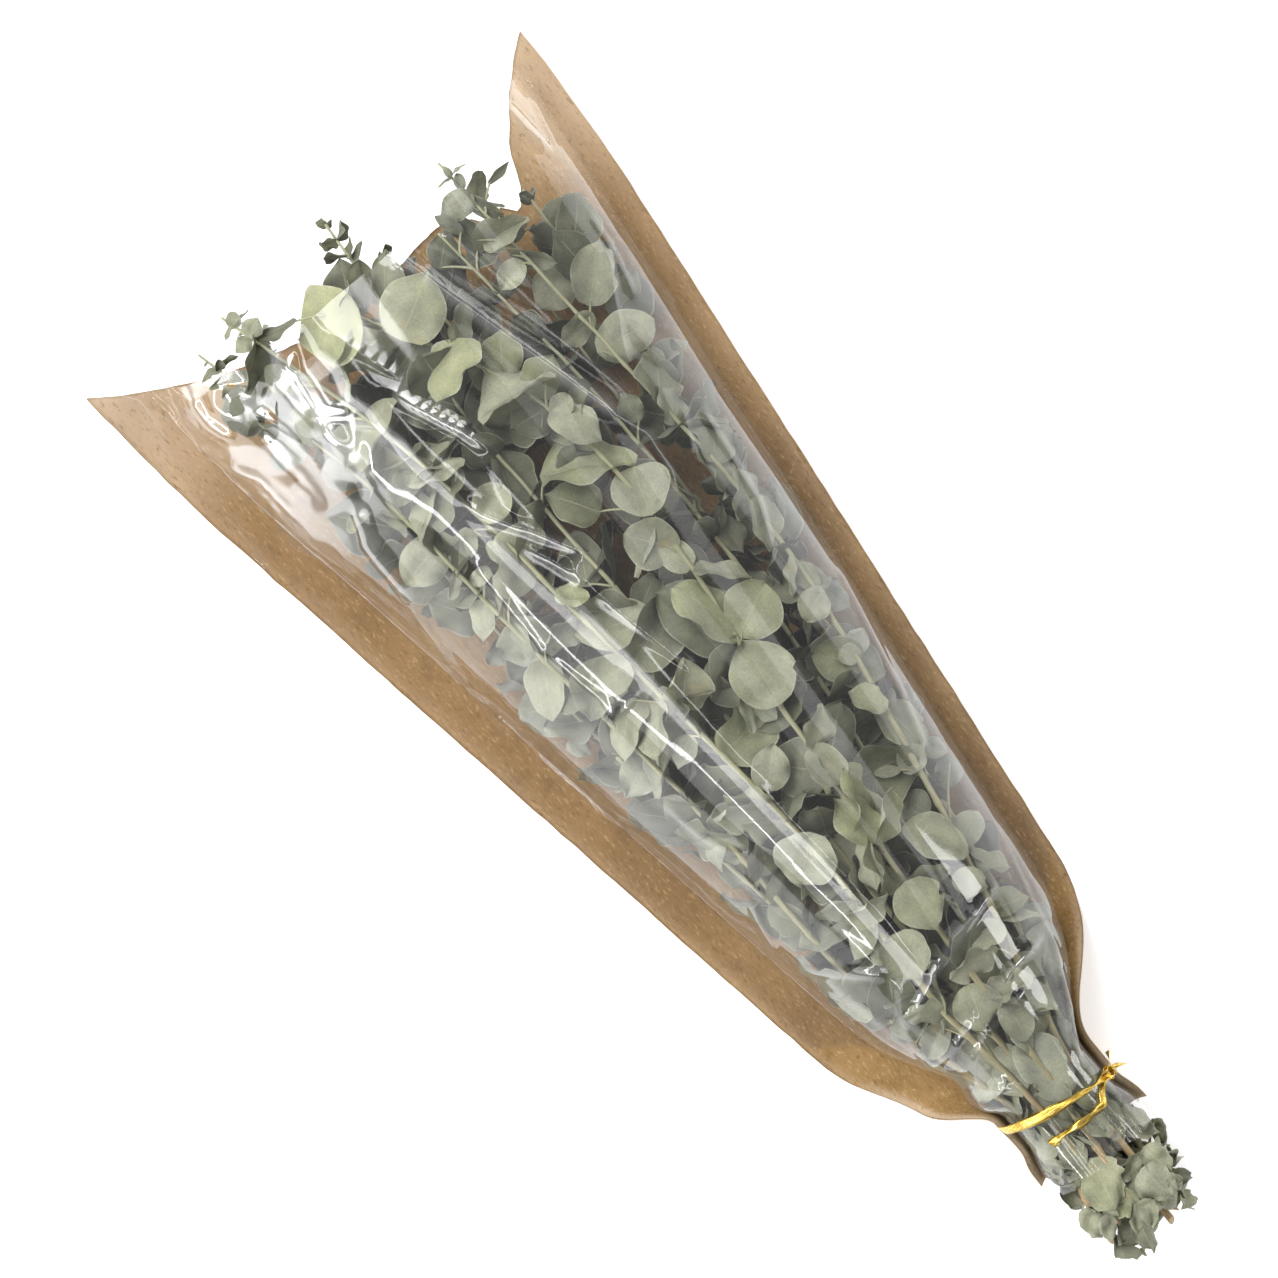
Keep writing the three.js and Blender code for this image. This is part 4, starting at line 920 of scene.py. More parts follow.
def build_stem(stem, material, twigs):
    """A smooth tapering twig, thicker at each pair of leaves, with a slanting cut at its end."""
    xs = np.arange(stem.start, stem.end + 2, 2.0)
    xs[-1] = stem.end
    centres = np.stack([xs, through(stem.path, xs, 1), through(stem.path, xs, 2)], -1)
    polyline = np.array([stem.point(x) for x in xs])
    centres = lerp(centres, polyline, 0.5)
    wobble = 0.35 * smooth(xs, stem.start, stem.start + 20) * smooth(stem.end - xs, 0, 20)
    centres[:, 1] += wobble * noise(xs / 15, xs * 0, 80 + stem.index)
    centres[:, 2] += wobble * noise(xs / 15, xs * 0, 100 + stem.index)
    tangent = unit(np.gradient(centres, axis=0))
    across = unit(np.stack([-tangent[:, 1], tangent[:, 0], 0 * xs], -1))
    up = np.cross(tangent, across)
    radius = 0.78 * np.array([stem.radius(x) for x in xs])
    for _, x, _, _ in stem.leaf_nodes():
        radius = radius * (1 + 0.28 * np.exp(-(((xs - x) / 1.6) ** 2)))
    sides = STEM_SIDES
    angle = np.arange(sides) * 2 * math.pi / sides
    bark = 1 + 0.06 * noise(xs[:, None] / 6 + 0 * angle, 3 * np.cos(angle)[None, :] + 0 * xs[:, None], 120)
    rings = centres[:, None] + circles(across, up, angle) * (radius[:, None] * bark)[..., None]
    slant = np.cos(angle + 6 * draw(stem.index, 77)) * stem.radius(stem.start) * 0.9
    rings[0, :, 0] += slant + 0.5
    rows = len(xs)
    points = [rings.reshape(-1, 3)]
    faces = grid_faces(rows, sides, closed=True)
    # both ends are closed with a smaller ring that is drawn in to a point
    caps = []
    for row, inset in ((0, -0.15), (rows - 1, 0.6)):
        middle = rings[row].mean(0)
        start = sum(len(p) for p in points)
        points.append(lerp(middle, rings[row], 0.55) + tangent[row] * inset * 0.4)
        points.append(middle + tangent[row] * inset + (rings[row] - middle) * 0.02)
        a = np.arange(sides)
        b = (a + 1) % sides
        outer = row * sides
        for inner in (start, start + sides):
            quads = np.stack([outer + a, outer + b, inner + b, inner + a], -1)
            caps.append(quads[:, ::-1] if row == 0 else quads)
            outer = inner
    bark_faces = [faces, *caps]
    for path in twigs:
        tube, tube_faces = twig_tube(stem, path)
        bark_faces.append(tube_faces + sum(len(p) for p in points))
        points.append(tube)
    points = np.concatenate(points)
    share = (points[:, 0] - stem.start) / (stem.end - stem.start)
    cut = np.zeros(len(points))
    cut[rows * sides:rows * sides + 2 * sides] = 1
    mood = np.stack([np.clip(share, 0, 1), cut, 0 * cut, 0 * cut + 1], -1)
    name = f"stem_{stem.index + 1:02d}"
    made = mesh_object(name, points, np.concatenate(bark_faces), material, {"mood": mood})
    dress(made, f"spray_{stem.index + 1:02d}")


# ---------------------------------------------------------------- leaves


def turned(v, axis, angle):
    """Vectors v turned about the unit axes by the angles."""
    c, s = np.cos(angle)[..., None], np.sin(angle)[..., None]
    return v * c + np.cross(axis, v) * s + axis * (axis * v).sum(-1, keepdims=True) * (1 - c)


def leaf_poses(stem, node, side, attempts):
    """The ways that a leaf may stand, one for each attempt, as a dict of arrays."""
    index, x, node_turn, size = node

    def pick(channel):
        return draw(stem.index, index, side, attempts, channel)

    def swing(channel):
        return 2 * pick(channel) - 1

    slack = attempts / TRIES
    in_neck = 1 - smooth(abs(x - 5), 12, 55)
    at_butt = 1 - smooth(x, -45, -20)
    tangent = stem.tangent(x)
    across, up = stem.sides(x)
    turn = node_turn + side * math.pi + swing(0) * (0.15 + 1.4 * slack)
    out = across * np.cos(turn)[:, None] + up * np.sin(turn)[:, None]
    open_lean = lerp(1.15, 0.8, slack) + 0.4 * swing(1)
    lean = lerp(lerp(open_lean, 0.35 + 0.2 * swing(1), in_neck), 1.2 + 0.5 * swing(1), at_butt)
    ahead = tangent * np.cos(lean)[:, None] + out * np.sin(lean)[:, None]
    spread = np.cross(tangent, out)
    spread = np.where(spread[:, 2:] < 0, -spread, spread)
    forward = unit(tangent - ahead * (ahead @ tangent)[:, None])
    flattest = lerp(0.95, 0.3, in_neck)
    least = LEAST_PRESSED[stem.layer] * (1 - 0.6 * slack)
    press = (math.pi / 2) * np.abs(np.cos(turn)) * lerp(least, flattest, pick(2))
    wide = spread * np.cos(press)[:, None] + forward * np.sin(press)[:, None]
    wide = turned(wide, ahead, (0.25 + 0.3 * slack) * swing(10))
    face = np.cross(ahead, wide)
    down = face[:, 2:] < 0
    cup = np.where(pick(6) < 0.5, -1, 1) * lerp(0.12, 1.25, pick(7) ** 2)
    return {
        "base": stem.point(x) + out * ROOT_DEPTH * stem.radius(x),
        "ahead": ahead,
        "wide": np.where(down, -wide, wide),
        "face": np.where(down, -face, face),
        "length": size * lerp(0.84, 1.16, pick(3)) * lerp(1, 0.62, slack),
        "aspect": lerp(0.8, 1.06, pick(4)) * lerp(1, 0.75, in_neck),
        "bend": lerp(-0.35, 0.95, pick(5)),
        "cup": cup,
        "wave": lerp(0.2, 0.75, pick(8)),
        "phase": 6 * pick(9),
    }


def one_of(poses, number):
    """One pose out of a dict of arrays of them."""
    return {key: values[number] for key, values in poses.items()}


def blade_half(l):
    """A blade's half-width at l from its base (0) to its tip (1), as a share of its widest."""
    return np.sin(math.pi * l**0.85) ** 0.62


def blade_point(pose, l, w, rise=0.0):
    """Points of a blade at l (0 base to 1 tip) and w (-1 to 1 across its full width)."""
    def each(key):
        return np.asarray(pose[key])[..., None]

    half = each("length") * each("aspect") / 2
    bend = np.where(np.abs(each("bend")) < 1e-3, 1e-3, each("bend"))
    turn = bend * l
    run, drop = np.sin(turn) / bend, (1 - np.cos(turn)) / bend
    angle = each("cup") * w
    ripple = each("wave") * half * 0.13 * np.sin(7 * l + each("phase") + np.where(w > 0, 0, 2)) * w * w
    lift = (1 - np.cos(angle)) / each("cup") * half + ripple + rise
    ahead, face, wide = (np.asarray(pose[key])[..., None, :] for key in ("ahead", "face", "wide"))
    facing = face * np.cos(turn)[..., None] + ahead * np.sin(turn)[..., None]
    return (
        np.asarray(pose["base"])[..., None, :]
        + ahead * (each("length") * run)[..., None]
        - face * (each("length") * drop)[..., None]
        + wide * (np.sin(angle) / each("cup") * half)[..., None]
        + facing * lift[..., None]
    )


PROBE_L = np.array([0.15, 0.45, 0.8, 0.15, 0.45, 0.8, 0.5, 1.0, 0.3, 0.3])
PROBE_W = np.array([1, 1, 1, -1, -1, -1, 0, 0, 0.5, -0.5]) * blade_half(PROBE_L)
OUTER_PROBES = [1, 4, 2, 5, 6, 7]
FILLER_ROOM = 0.6
POSES_WEIGHED = 14


def inside_sleeve(points, room, butt_room=None):
    """True for each pose whose probe points all lie inside the sleeve, or in the round of the butt."""
    x, y, z = points[..., 0], points[..., 1], points[..., 2]
    under_film = z < film_height(x, y) - room
    over_paper = z > paper_height(x, y) + room
    at_butt = np.hypot(y, z - NECK_RADIUS) < NECK_RADIUS - (room if butt_room is None else butt_room)
    return np.where(x < FILM_TAIL_X - 2, at_butt, under_film & over_paper).all(-1)


def cad_points(name):
    """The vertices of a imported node, in metres."""
    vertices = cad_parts[name].data.vertices
    co = np.zeros(len(vertices) * 3, np.float32)
    vertices.foreach_get("co", co)
    return co.reshape(-1, 3).astype(float)


def tree_of(points):
    tree = KDTree(len(points))
    for i, p in enumerate(points):
        tree.insert(p, i)
    tree.balance()
    return tree


SAME_POINT = 2e-5  # metres


def leaves_in_solids(stem):
    """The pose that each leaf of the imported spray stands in, and the leaves that it lacks."""
    tree = tree_of(cad_points(f"spray_{stem.index + 1:02d}"))
    found, lacking = [], []
    attempts = np.arange(TRIES)
    for node in stem.leaf_nodes():
        for side in (0, 1):
            poses = leaf_poses(stem, node, side, attempts)
            tips = place(blade_point(poses, np.array([1.0]), np.array([0.0]))[:, 0])
            hits = [i for i, tip in enumerate(tips) if tree.find(tip)[2] < SAME_POINT]
            if hits:
                found.append((node, side, one_of(poses, hits[0])))
            else:
                lacking.append((node, side))
    return found, lacking


class Crowd:
    """The leaves placed so far, as sample points that tell how crowded a place is.

    add() notes a leaf, and room() tells of it only after the next settle().
    """

    def __init__(self):
        self.points = []
        self.tree = None

    def add(self, pose):
        self.points.extend(blade_point(pose, PROBE_L, PROBE_W))

    def settle(self):
        self.tree = tree_of(self.points)

    def room(self, points):
        return min(self.tree.find(p)[2] for p in points)


def roomiest(poses, crowd):
    """The pose inside the sleeve that comes least near to other leaves, or None. Early ones have an edge."""
    probes = blade_point(poses, PROBE_L, PROBE_W)
    inside = np.nonzero(inside_sleeve(probes, FILLER_ROOM))[0]
    best, chosen = 0.0, None
    for number in inside[:POSES_WEIGHED]:
        gap = crowd.room(probes[number][OUTER_PROBES]) * (1 + 0.02 * (POSES_WEIGHED - number / 8))
        if gap > best:
            best, chosen = gap, one_of(poses, number)
    return chosen


BLADE_ROWS = 17
BLADE_COLUMNS = 11
BLADE_THICKNESS = 0.5


TUCKED_UNTIL = 480  # millimetres along the sleeve; the tips beyond stand free in its mouth
TUCK_ROOM = 1.2
TUCK_SHARE = 0.12
TUCK_STEPS = 8


def tucked_in(points):
    """The points of a blade, those beyond the film drawn back towards its middle until they are inside."""
    points = points.copy()
    middle = points.mean(0)
    if middle[0] < FILM_TAIL_X:
        return points
    for _ in range(TUCK_STEPS):
        x, y, z = points.T
        over = (x < TUCKED_UNTIL) & (z > film_height(x, y) - TUCK_ROOM)
        points[over] += TUCK_SHARE * (middle - points[over])
    return points


def blade_mesh(pose, key):
    """Points and mood of one blade: an upper grid and a lower grid that meet along its edge."""
    chance = [float(draw(*key, BLADE_DRAWS + i)) for i in range(12)]
    l = np.linspace(0, 1, BLADE_ROWS)[:, None] ** 1.12
    t = np.linspace(-1, 1, BLADE_COLUMNS)[None, :]
    t = np.sign(t) * np.abs(t) ** 0.85
    point = max(pose.get("point", 1.6 * chance[11] - 0.6), 0)
    blunt = lerp(0.5, 0.68, chance[1]) + 0.62 * point * smooth(l, 0.5, 0.95)
    width = np.sin(math.pi * l ** (lerp(0.74, 0.95, chance[0]) - 0.12 * point)) ** blunt
    ragged = pose.get("ragged", 0.0)
    torn = 1 - 0.16 * ragged * (1 + noise(l * 11 + 7 * chance[0], np.sign(t) * 2.3 + 5 * chance[1], 620))
    uneven = 1 + 0.09 * noise(l * 3.2 + 9 * chance[4], np.sign(t) * 1.7 + 6 * chance[6], 622)
    w = t * width * lerp(1, torn * uneven, np.abs(t) ** 2)
    lobes = lerp(0.02, 0.13, chance[2]) * np.abs(t) ** 1.3 * np.exp(-((l / 0.16) ** 2))
    notch = 0.05 * max(chance[3] - 0.55, 0) * (1 - np.abs(t)) ** 2 * smooth(l, 0.8, 1)
    ends = 0.10 * ragged * (1 + noise(t * 3.5 + 9 * chance[2], 0 * t, 621)) * smooth(l, 0.75, 1)
    along = l - lobes - notch - ends
    size = pose["length"]
    half = size * pose["aspect"] / 2
    ribs = 0.012 * half * np.sin(34 * (l - 0.3 * np.abs(t)) + 5 * chance[4]) * np.abs(t) * width
    crease = -0.05 * half * np.exp(-((t / 0.16) ** 2)) * smooth(1 - l, 0, 0.3)
    edge = np.sin(11 * l + 9 * chance[6] + 2 * np.sign(t)) * np.abs(t) ** 3
    edge = lerp(0.04, 0.24, chance[5]) * half * edge
    fold = lerp(-0.2, 0.75, chance[7] ** 1.4) * half * np.abs(w)
    warp = (0.10 + 0.22 * ragged) * half * noise(3 * l + 9 * chance[10], 1.6 * t + 9 * chance[6], 600)
    rise = (ribs + crease + edge + warp + fold * 0.6) * smooth(l, 0, 0.15)
    middle = blade_point(pose, along.ravel(), w.ravel(), rise.ravel())
    middle = tucked_in(middle).reshape(BLADE_ROWS, BLADE_COLUMNS, 3)
    normal = grid_normals(middle)
    normal[0], normal[-1] = normal[1], normal[-2]
    thick = smooth(1 - np.abs(t), 0, 0.3) * smooth(l, 0, 0.08) * smooth(1 - l, 0, 0.08)
    thick = 0.5 * BLADE_THICKNESS * thick
    upper = middle + normal * thick[..., None]
    lower = middle - normal * thick[..., None]
    blade = np.stack([l + 0 * t, 0.5 + 0.5 * t + 0 * l, 0 * w, 0 * w + 1], -1)
    yellow = pose.get("yellow", 0.8 * chance[9])
    moods = []
    for underside in (0, 1):
        shade = np.clip(pose["tone"] + 0.12 * underside, 0, 1)
        moods.append(np.broadcast_to([shade, yellow * (1 - 0.4 * underside), chance[10], 1], blade.shape))
    return np.stack([upper, lower]), np.stack([blade, blade]), np.stack(moods)


def build_leaves(stem, leaves, material):
    """One mesh of all the leaves on a stem. leaves is a list of (pose, key)."""
    made = [blade_mesh(pose, key) for pose, key in leaves]
    count = BLADE_ROWS * BLADE_COLUMNS
    points = np.concatenate([m[0].reshape(-1, 3) for m in made])
    faces = []
    for i in range(len(made)):
        faces.append(grid_faces(BLADE_ROWS, BLADE_COLUMNS, start=2 * i * count))
        faces.append(grid_faces(BLADE_ROWS, BLADE_COLUMNS, start=(2 * i + 1) * count, flip=True))
    attributes = {
        "blade": np.concatenate([m[1].reshape(-1, 4) for m in made]),
        "mood": np.concatenate([m[2].reshape(-1, 4) for m in made]),
    }
    name = f"leaves_{stem.index + 1:02d}"
    made = mesh_object(name, points, np.concatenate(faces), material, attributes)
    dress(made, f"spray_{stem.index + 1:02d}")


# ---------------------------------------------------------------- the leaves that the photograph shows

# Read off the photograph, in its pixels: base right and down, tip right and down, width, then
# lightness and yellowness in hundredths, and the millimetres that the base lies below its stem's line.
# the lightness column is each leaf's brightness as seen, so it holds painted shade as well as the leaf's own
# colour
PHOTO_LEAVES = [
    # the mouth, left
    (350, 316, 296, 335, 85, 70, 90, 0), (402, 337, 428, 270, 70, 68, 60, 0),
    (350, 316, 340, 258, 50, 28, 40, 8), (352, 312, 372, 262, 22, 45, 40, 3),
    (385, 300, 388, 249, 40, 50, 30, 4), (400, 335, 352, 345, 25, 55, 30, 3),
    (400, 338, 335, 372, 40, 60, 50, 5), (468, 345, 420, 398, 38, 70, 80, 0),
    (455, 345, 460, 300, 20, 50, 30, 2), (345, 262, 352, 237, 8, 20, 40, 0),
    (358, 262, 363, 241, 8, 20, 40, 0), (292, 322, 252, 345, 14, 22, 30, 0),
    (258, 335, 250, 395, 22, 25, 30, 2), (250, 336, 258, 317, 22, 50, 30, 0),
    (252, 336, 236, 353, 18, 50, 30, 0), (240, 325, 230, 312, 16, 50, 30, 0),
    (238, 322, 249, 311, 4, 45, 30, 0), (232, 325, 224, 340, 6, 40, 30, 0),
    (222, 366, 201, 382, 8, 40, 30, 0), (222, 366, 236, 352, 6, 40, 30, 0),
    (212, 358, 204, 367, 3, 40, 30, 0), (225, 378, 209, 389, 8, 40, 30, 0),
    (228, 380, 252, 374, 12, 40, 30, 0), (300, 385, 262, 372, 30, 45, 20, 6),
    (330, 420, 290, 415, 40, 50, 20, 8), (300, 430, 275, 470, 36, 50, 20, 8),
    (360, 470, 320, 470, 40, 45, 30, 10), (355, 425, 345, 470, 40, 55, 30, 8),
    # the mouth, middle and right
    (468, 200, 440, 215, 32, 45, 10, 0), (460, 190, 457, 173, 12, 45, 20, 0),
    (450, 178, 443, 166, 8, 45, 20, 0), (450, 178, 461, 160, 3, 45, 20, 0),
    (450, 178, 435, 184, 3, 40, 20, 0), (490, 182, 508, 160, 8, 40, 30, 0),
    (460, 200, 505, 205, 12, 25, 30, 3), (487, 249, 527, 216, 25, 70, 20, 0),
    (500, 243, 530, 232, 10, 25, 30, 2), (510, 255, 558, 258, 18, 35, 30, 2),
    (520, 262, 500, 290, 28, 72, 20, 2), (570, 272, 535, 308, 45, 70, 20, 0),
    (590, 300, 600, 240, 50, 70, 20, 0), (590, 315, 560, 345, 25, 55, 20, 4),
    (600, 350, 655, 320, 50, 68, 30, 0), (570, 222, 572, 248, 10, 25, 30, 2),
    (505, 375, 500, 330, 45, 42, 80, 3), (505, 378, 468, 370, 35, 32, 80, 3),
    (548, 378, 472, 408, 32, 72, 40, 0), (557, 412, 570, 395, 25, 60, 40, 0),
    (612, 300, 640, 270, 26, 55, 20, 4), (655, 360, 690, 345, 22, 55, 20, 5),
    # the second row
    (390, 402, 352, 467, 30, 72, 40, 0), (458, 442, 393, 475, 26, 75, 40, 0),
    (430, 462, 390, 495, 30, 25, 40, 3), (460, 463, 410, 490, 25, 75, 30, 0),
    (458, 470, 430, 530, 30, 45, 20, 3), (430, 490, 413, 540, 22, 72, 20, 1),
    (480, 520, 505, 485, 40, 74, 20, 0), (440, 540, 405, 585, 48, 76, 20, 0),
    (458, 575, 460, 538, 18, 28, 30, 2), (470, 530, 472, 558, 14, 50, 30, 2),
    (490, 542, 500, 565, 14, 50, 30, 2), (512, 592, 552, 521, 38, 74, 40, 0),
    (488, 570, 468, 588, 18, 60, 30, 1), (452, 575, 450, 602, 12, 60, 30, 1),
    (488, 598, 480, 642, 28, 78, 30, 0), (505, 602, 528, 612, 18, 60, 20, 3),
    (550, 405, 510, 430, 45, 22, 50, 3), (500, 455, 520, 520, 40, 34, 60, 4),
    # the middle
    (557, 412, 606, 432, 38, 72, 30, 0), (545, 475, 632, 442, 50, 66, 75, 0),
    (652, 512, 632, 466, 64, 66, 50, 0), (695, 500, 640, 463, 18, 68, 30, 3),
    (648, 510, 638, 578, 18, 68, 20, 1), (688, 568, 657, 545, 32, 68, 50, 1),
    (738, 635, 655, 592, 72, 30, 60, 5), (735, 632, 685, 572, 40, 66, 85, 0),
    (742, 632, 765, 582, 64, 62, 75, 1), (698, 565, 752, 570, 16, 55, 40, 0),
    (600, 512, 545, 490, 46, 26, 80, 6), (588, 585, 575, 530, 44, 36, 30, 6),
    (556, 596, 590, 597, 24, 66, 80, 0), (648, 612, 575, 640, 46, 72, 20, 0),
    (662, 655, 612, 644, 18, 70, 10, 1), (628, 664, 592, 688, 42, 66, 20, 0),
    (545, 652, 550, 722, 40, 74, 20, 0), (540, 656, 512, 612, 44, 58, 10, 3),
    (545, 648, 578, 608, 22, 70, 10, 0), (505, 640, 488, 665, 22, 52, 10, 4),
    (512, 622, 525, 668, 34, 60, 10, 3), (595, 690, 590, 720, 40, 58, 10, 3),
    (632, 700, 602, 768, 38, 72, 20, 0), (662, 693, 645, 765, 28, 72, 20, 0),
    (650, 760, 625, 798, 42, 68, 10, 2), (670, 745, 655, 798, 20, 70, 10, 2),
    (600, 718, 545, 733, 36, 50, 10, 3), (570, 738, 590, 755, 22, 62, 10, 3),
    (655, 650, 680, 715, 22, 70, 20, 1), (632, 668, 645, 700, 24, 42, 10, 4),
    (712, 812, 658, 812, 26, 40, 10, 6), (775, 700, 742, 640, 70, 68, 60, 0),
    (738, 640, 715, 700, 22, 48, 40, 2), (740, 690, 757, 732, 14, 60, 30, 3),
    (752, 698, 775, 722, 22, 55, 10, 4), (690, 735, 678, 770, 26, 56, 10, 4),
    # the right edge
    (795, 552, 787, 596, 10, 72, 20, 0), (816, 588, 795, 562, 24, 42, 80, 2),
    (822, 588, 806, 622, 34, 70, 40, 0), (822, 588, 856, 612, 36, 68, 40, 0),
    (850, 655, 868, 617, 36, 80, 10, 0), (858, 660, 840, 648, 22, 55, 30, 1),
    (858, 662, 812, 655, 48, 42, 80, 4), (885, 705, 848, 692, 28, 60, 70, 0),
    (885, 706, 928, 742, 42, 50, 60, 0), (758, 500, 770, 552, 30, 62, 10, 0),
    (700, 440, 722, 500, 26, 55, 20, 2), (740, 470, 752, 520, 24, 62, 10, 2),
    (722, 520, 745, 552, 30, 42, 20, 4), (680, 420, 668, 382, 24, 50, 10, 3),
    (640, 420, 618, 395, 26, 45, 10, 5), (770, 590, 748, 570, 22, 40, 30, 8),
    (925, 745, 948, 752, 22, 66, 20, 0), (905, 772, 925, 742, 28, 66, 10, 0),
    (955, 760, 945, 790, 30, 50, 10, 5), (905, 800, 930, 812, 34, 62, 10, 3),
    # before the neck
    (812, 746, 830, 706, 28, 66, 30, 0), (815, 748, 845, 784, 38, 70, 40, 0),
    (814, 757, 833, 794, 13, 60, 80, 1), (872, 836, 866, 756, 26, 66, 90, 0),
    (872, 838, 836, 796, 44, 60, 90, 0), (881, 838, 884, 786, 22, 66, 80, 0),
    (900, 770, 873, 774, 12, 50, 40, 2), (764, 752, 680, 738, 30, 64, 80, 0),
    (768, 787, 774, 743, 40, 62, 30, 0), (770, 796, 720, 834, 24, 76, 10, 0),
    (745, 850, 692, 848, 32, 58, 10, 3), (715, 822, 712, 876, 18, 66, 10, 2),
    (810, 836, 802, 888, 66, 74, 10, 0), (816, 832, 852, 872, 42, 56, 60, 1),
    (864, 842, 880, 892, 22, 66, 40, 0), (868, 838, 893, 895, 24, 40, 80, 0),
    (848, 916, 890, 898, 24, 68, 30, 0), (855, 905, 815, 916, 22, 70, 10, 0),
    (808, 925, 766, 908, 32, 40, 50, 5), (760, 905, 785, 935, 26, 60, 10, 5),
    (852, 925, 800, 950, 30, 62, 10, 2), (868, 925, 858, 962, 26, 60, 10, 3),
    (962, 842, 982, 805, 40, 70, 30, 0), (963, 848, 902, 822, 40, 68, 50, 0),
    (975, 866, 1018, 858, 26, 56, 70, 0), (972, 866, 966, 899, 36, 68, 20, 0),
    (905, 884, 938, 931, 54, 64, 70, 0), (905, 884, 950, 868, 24, 66, 40, 1),
    (893, 938, 922, 978, 52, 70, 30, 0), (893, 940, 875, 965, 26, 62, 20, 1),
    (990, 915, 1036, 892, 34, 50, 85, 0), (995, 917, 1048, 903, 16, 72, 40, 0),
    (1000, 925, 962, 942, 26, 68, 30, 0), (992, 945, 948, 976, 28, 72, 20, 0),
    (1000, 952, 982, 986, 38, 38, 95, 3), (1022, 955, 1045, 975, 24, 40, 20, 2),
    (1030, 973, 985, 1002, 24, 62, 40, 0), (968, 985, 985, 1028, 52, 62, 60, 1),
    (1030, 980, 1056, 1014, 24, 80, 10, 0),
    # the neck
    (945, 1030, 922, 1076, 42, 58, 30, 1), (1040, 1014, 1034, 1042, 16, 60, 90, 1),
    (1020, 1048, 1072, 1096, 56, 72, 10, 0), (1050, 1020, 1085, 1060, 36, 72, 10, 1),
    (985, 1040, 970, 1085, 40, 66, 20, 1), (1005, 1045, 1020, 1100, 34, 62, 20, 2),
    (960, 1000, 945, 1035, 34, 60, 50, 2), (1005, 1000, 1030, 1040, 36, 60, 20, 2),
    (1000, 1070, 975, 1100, 30, 70, 10, 0), (1035, 1100, 1065, 1105, 26, 66, 10, 2),
    (1012, 1125, 1055, 1175, 32, 66, 20, 0), (1040, 1120, 1052, 1165, 24, 66, 20, 2),
    # the cut ends
    (1092, 1162, 1118, 1214, 54, 66, 70, 0), (1138, 1168, 1176, 1200, 46, 62, 45, 0),
    (1118, 1112, 1158, 1117, 24, 62, 50, 0), (1120, 1120, 1160, 1135, 30, 64, 60, 0),
    (1142, 1140, 1172, 1172, 32, 60, 60, 2), (1098, 1130, 1125, 1150, 28, 66, 10, 2),
    (1060, 1140, 1085, 1172, 32, 58, 50, 2), (1062, 1178, 1080, 1212, 26, 55, 50, 2),
    (1082, 1210, 1100, 1240, 24, 56, 50, 4), (1102, 1212, 1112, 1243, 22, 52, 50, 4),
    (1140, 1196, 1152, 1228, 26, 50, 60, 3), (1165, 1180, 1184, 1180, 22, 62, 50, 3),
    (1130, 1205, 1138, 1236, 18, 42, 60, 6), (1155, 1120, 1170, 1150, 22, 50, 60, 5),
    # the mouth, right of the middle
    (500, 216, 460, 201, 17, 20, 30, 3), (476, 242, 529, 216, 27, 50, 20, 0),
    (478, 250, 452, 214, 26, 15, 30, 6), (440, 268, 446, 228, 32, 25, 30, 6),
    (470, 262, 500, 228, 30, 12, 30, 8), (462, 232, 436, 214, 14, 30, 30, 2),
]
CARRIED_WITHIN = 3.2  # millimetres; a leaf farther from its stem has a twig of its own
LOWEST_LAYER_SEEN = 1
LAYER_HANDICAP = 4  # a stem of the second layer has to be this much nearer to carry a leaf
SMALL_LEAF = 9
WIDEST_ASPECT = 1.15
BUTT_ROOM = -4  # leaves of the photograph may stand this much out of the neck's round there
BUNCH_RADIUS = 28
PRESSED_UNTIL = 160  # up to here the leaves of the photograph lie against the film, over the stems
PRESSED_ROOM = 5
PHOTO_ROOM = 0.5
SHRINKS = (1, 0.85, 0.7)
LOWERINGS = (0, 2, 4, 7, 10, 13, 17, 22)


def in_the_butt(base):
    """1 for a leaf behind the tie, where they are torn and crumpled, and 0 inside the sleeve."""
    return float(1 - smooth(base[0], -30, 10))


def carrier(right, down):
    """The stem that carries what the photograph shows at a pixel, the point on it, and the place itself."""
    best = None
    for stem in stems:
        if stem.layer > LOWEST_LAYER_SEEN:
            continue
        z = 55.0
        for _ in range(4):
            spot = photo_point(right, down, z)
            on = stem.point(float(np.clip(spot[0], stem.start + 1, stem.end - 0.5)))
            z = on[2]
        gap = math.dist(spot, on) + LAYER_HANDICAP * stem.layer
        if best is None or gap < best[0]:
            best = (gap, stem, on, spot)
    return best[1:]


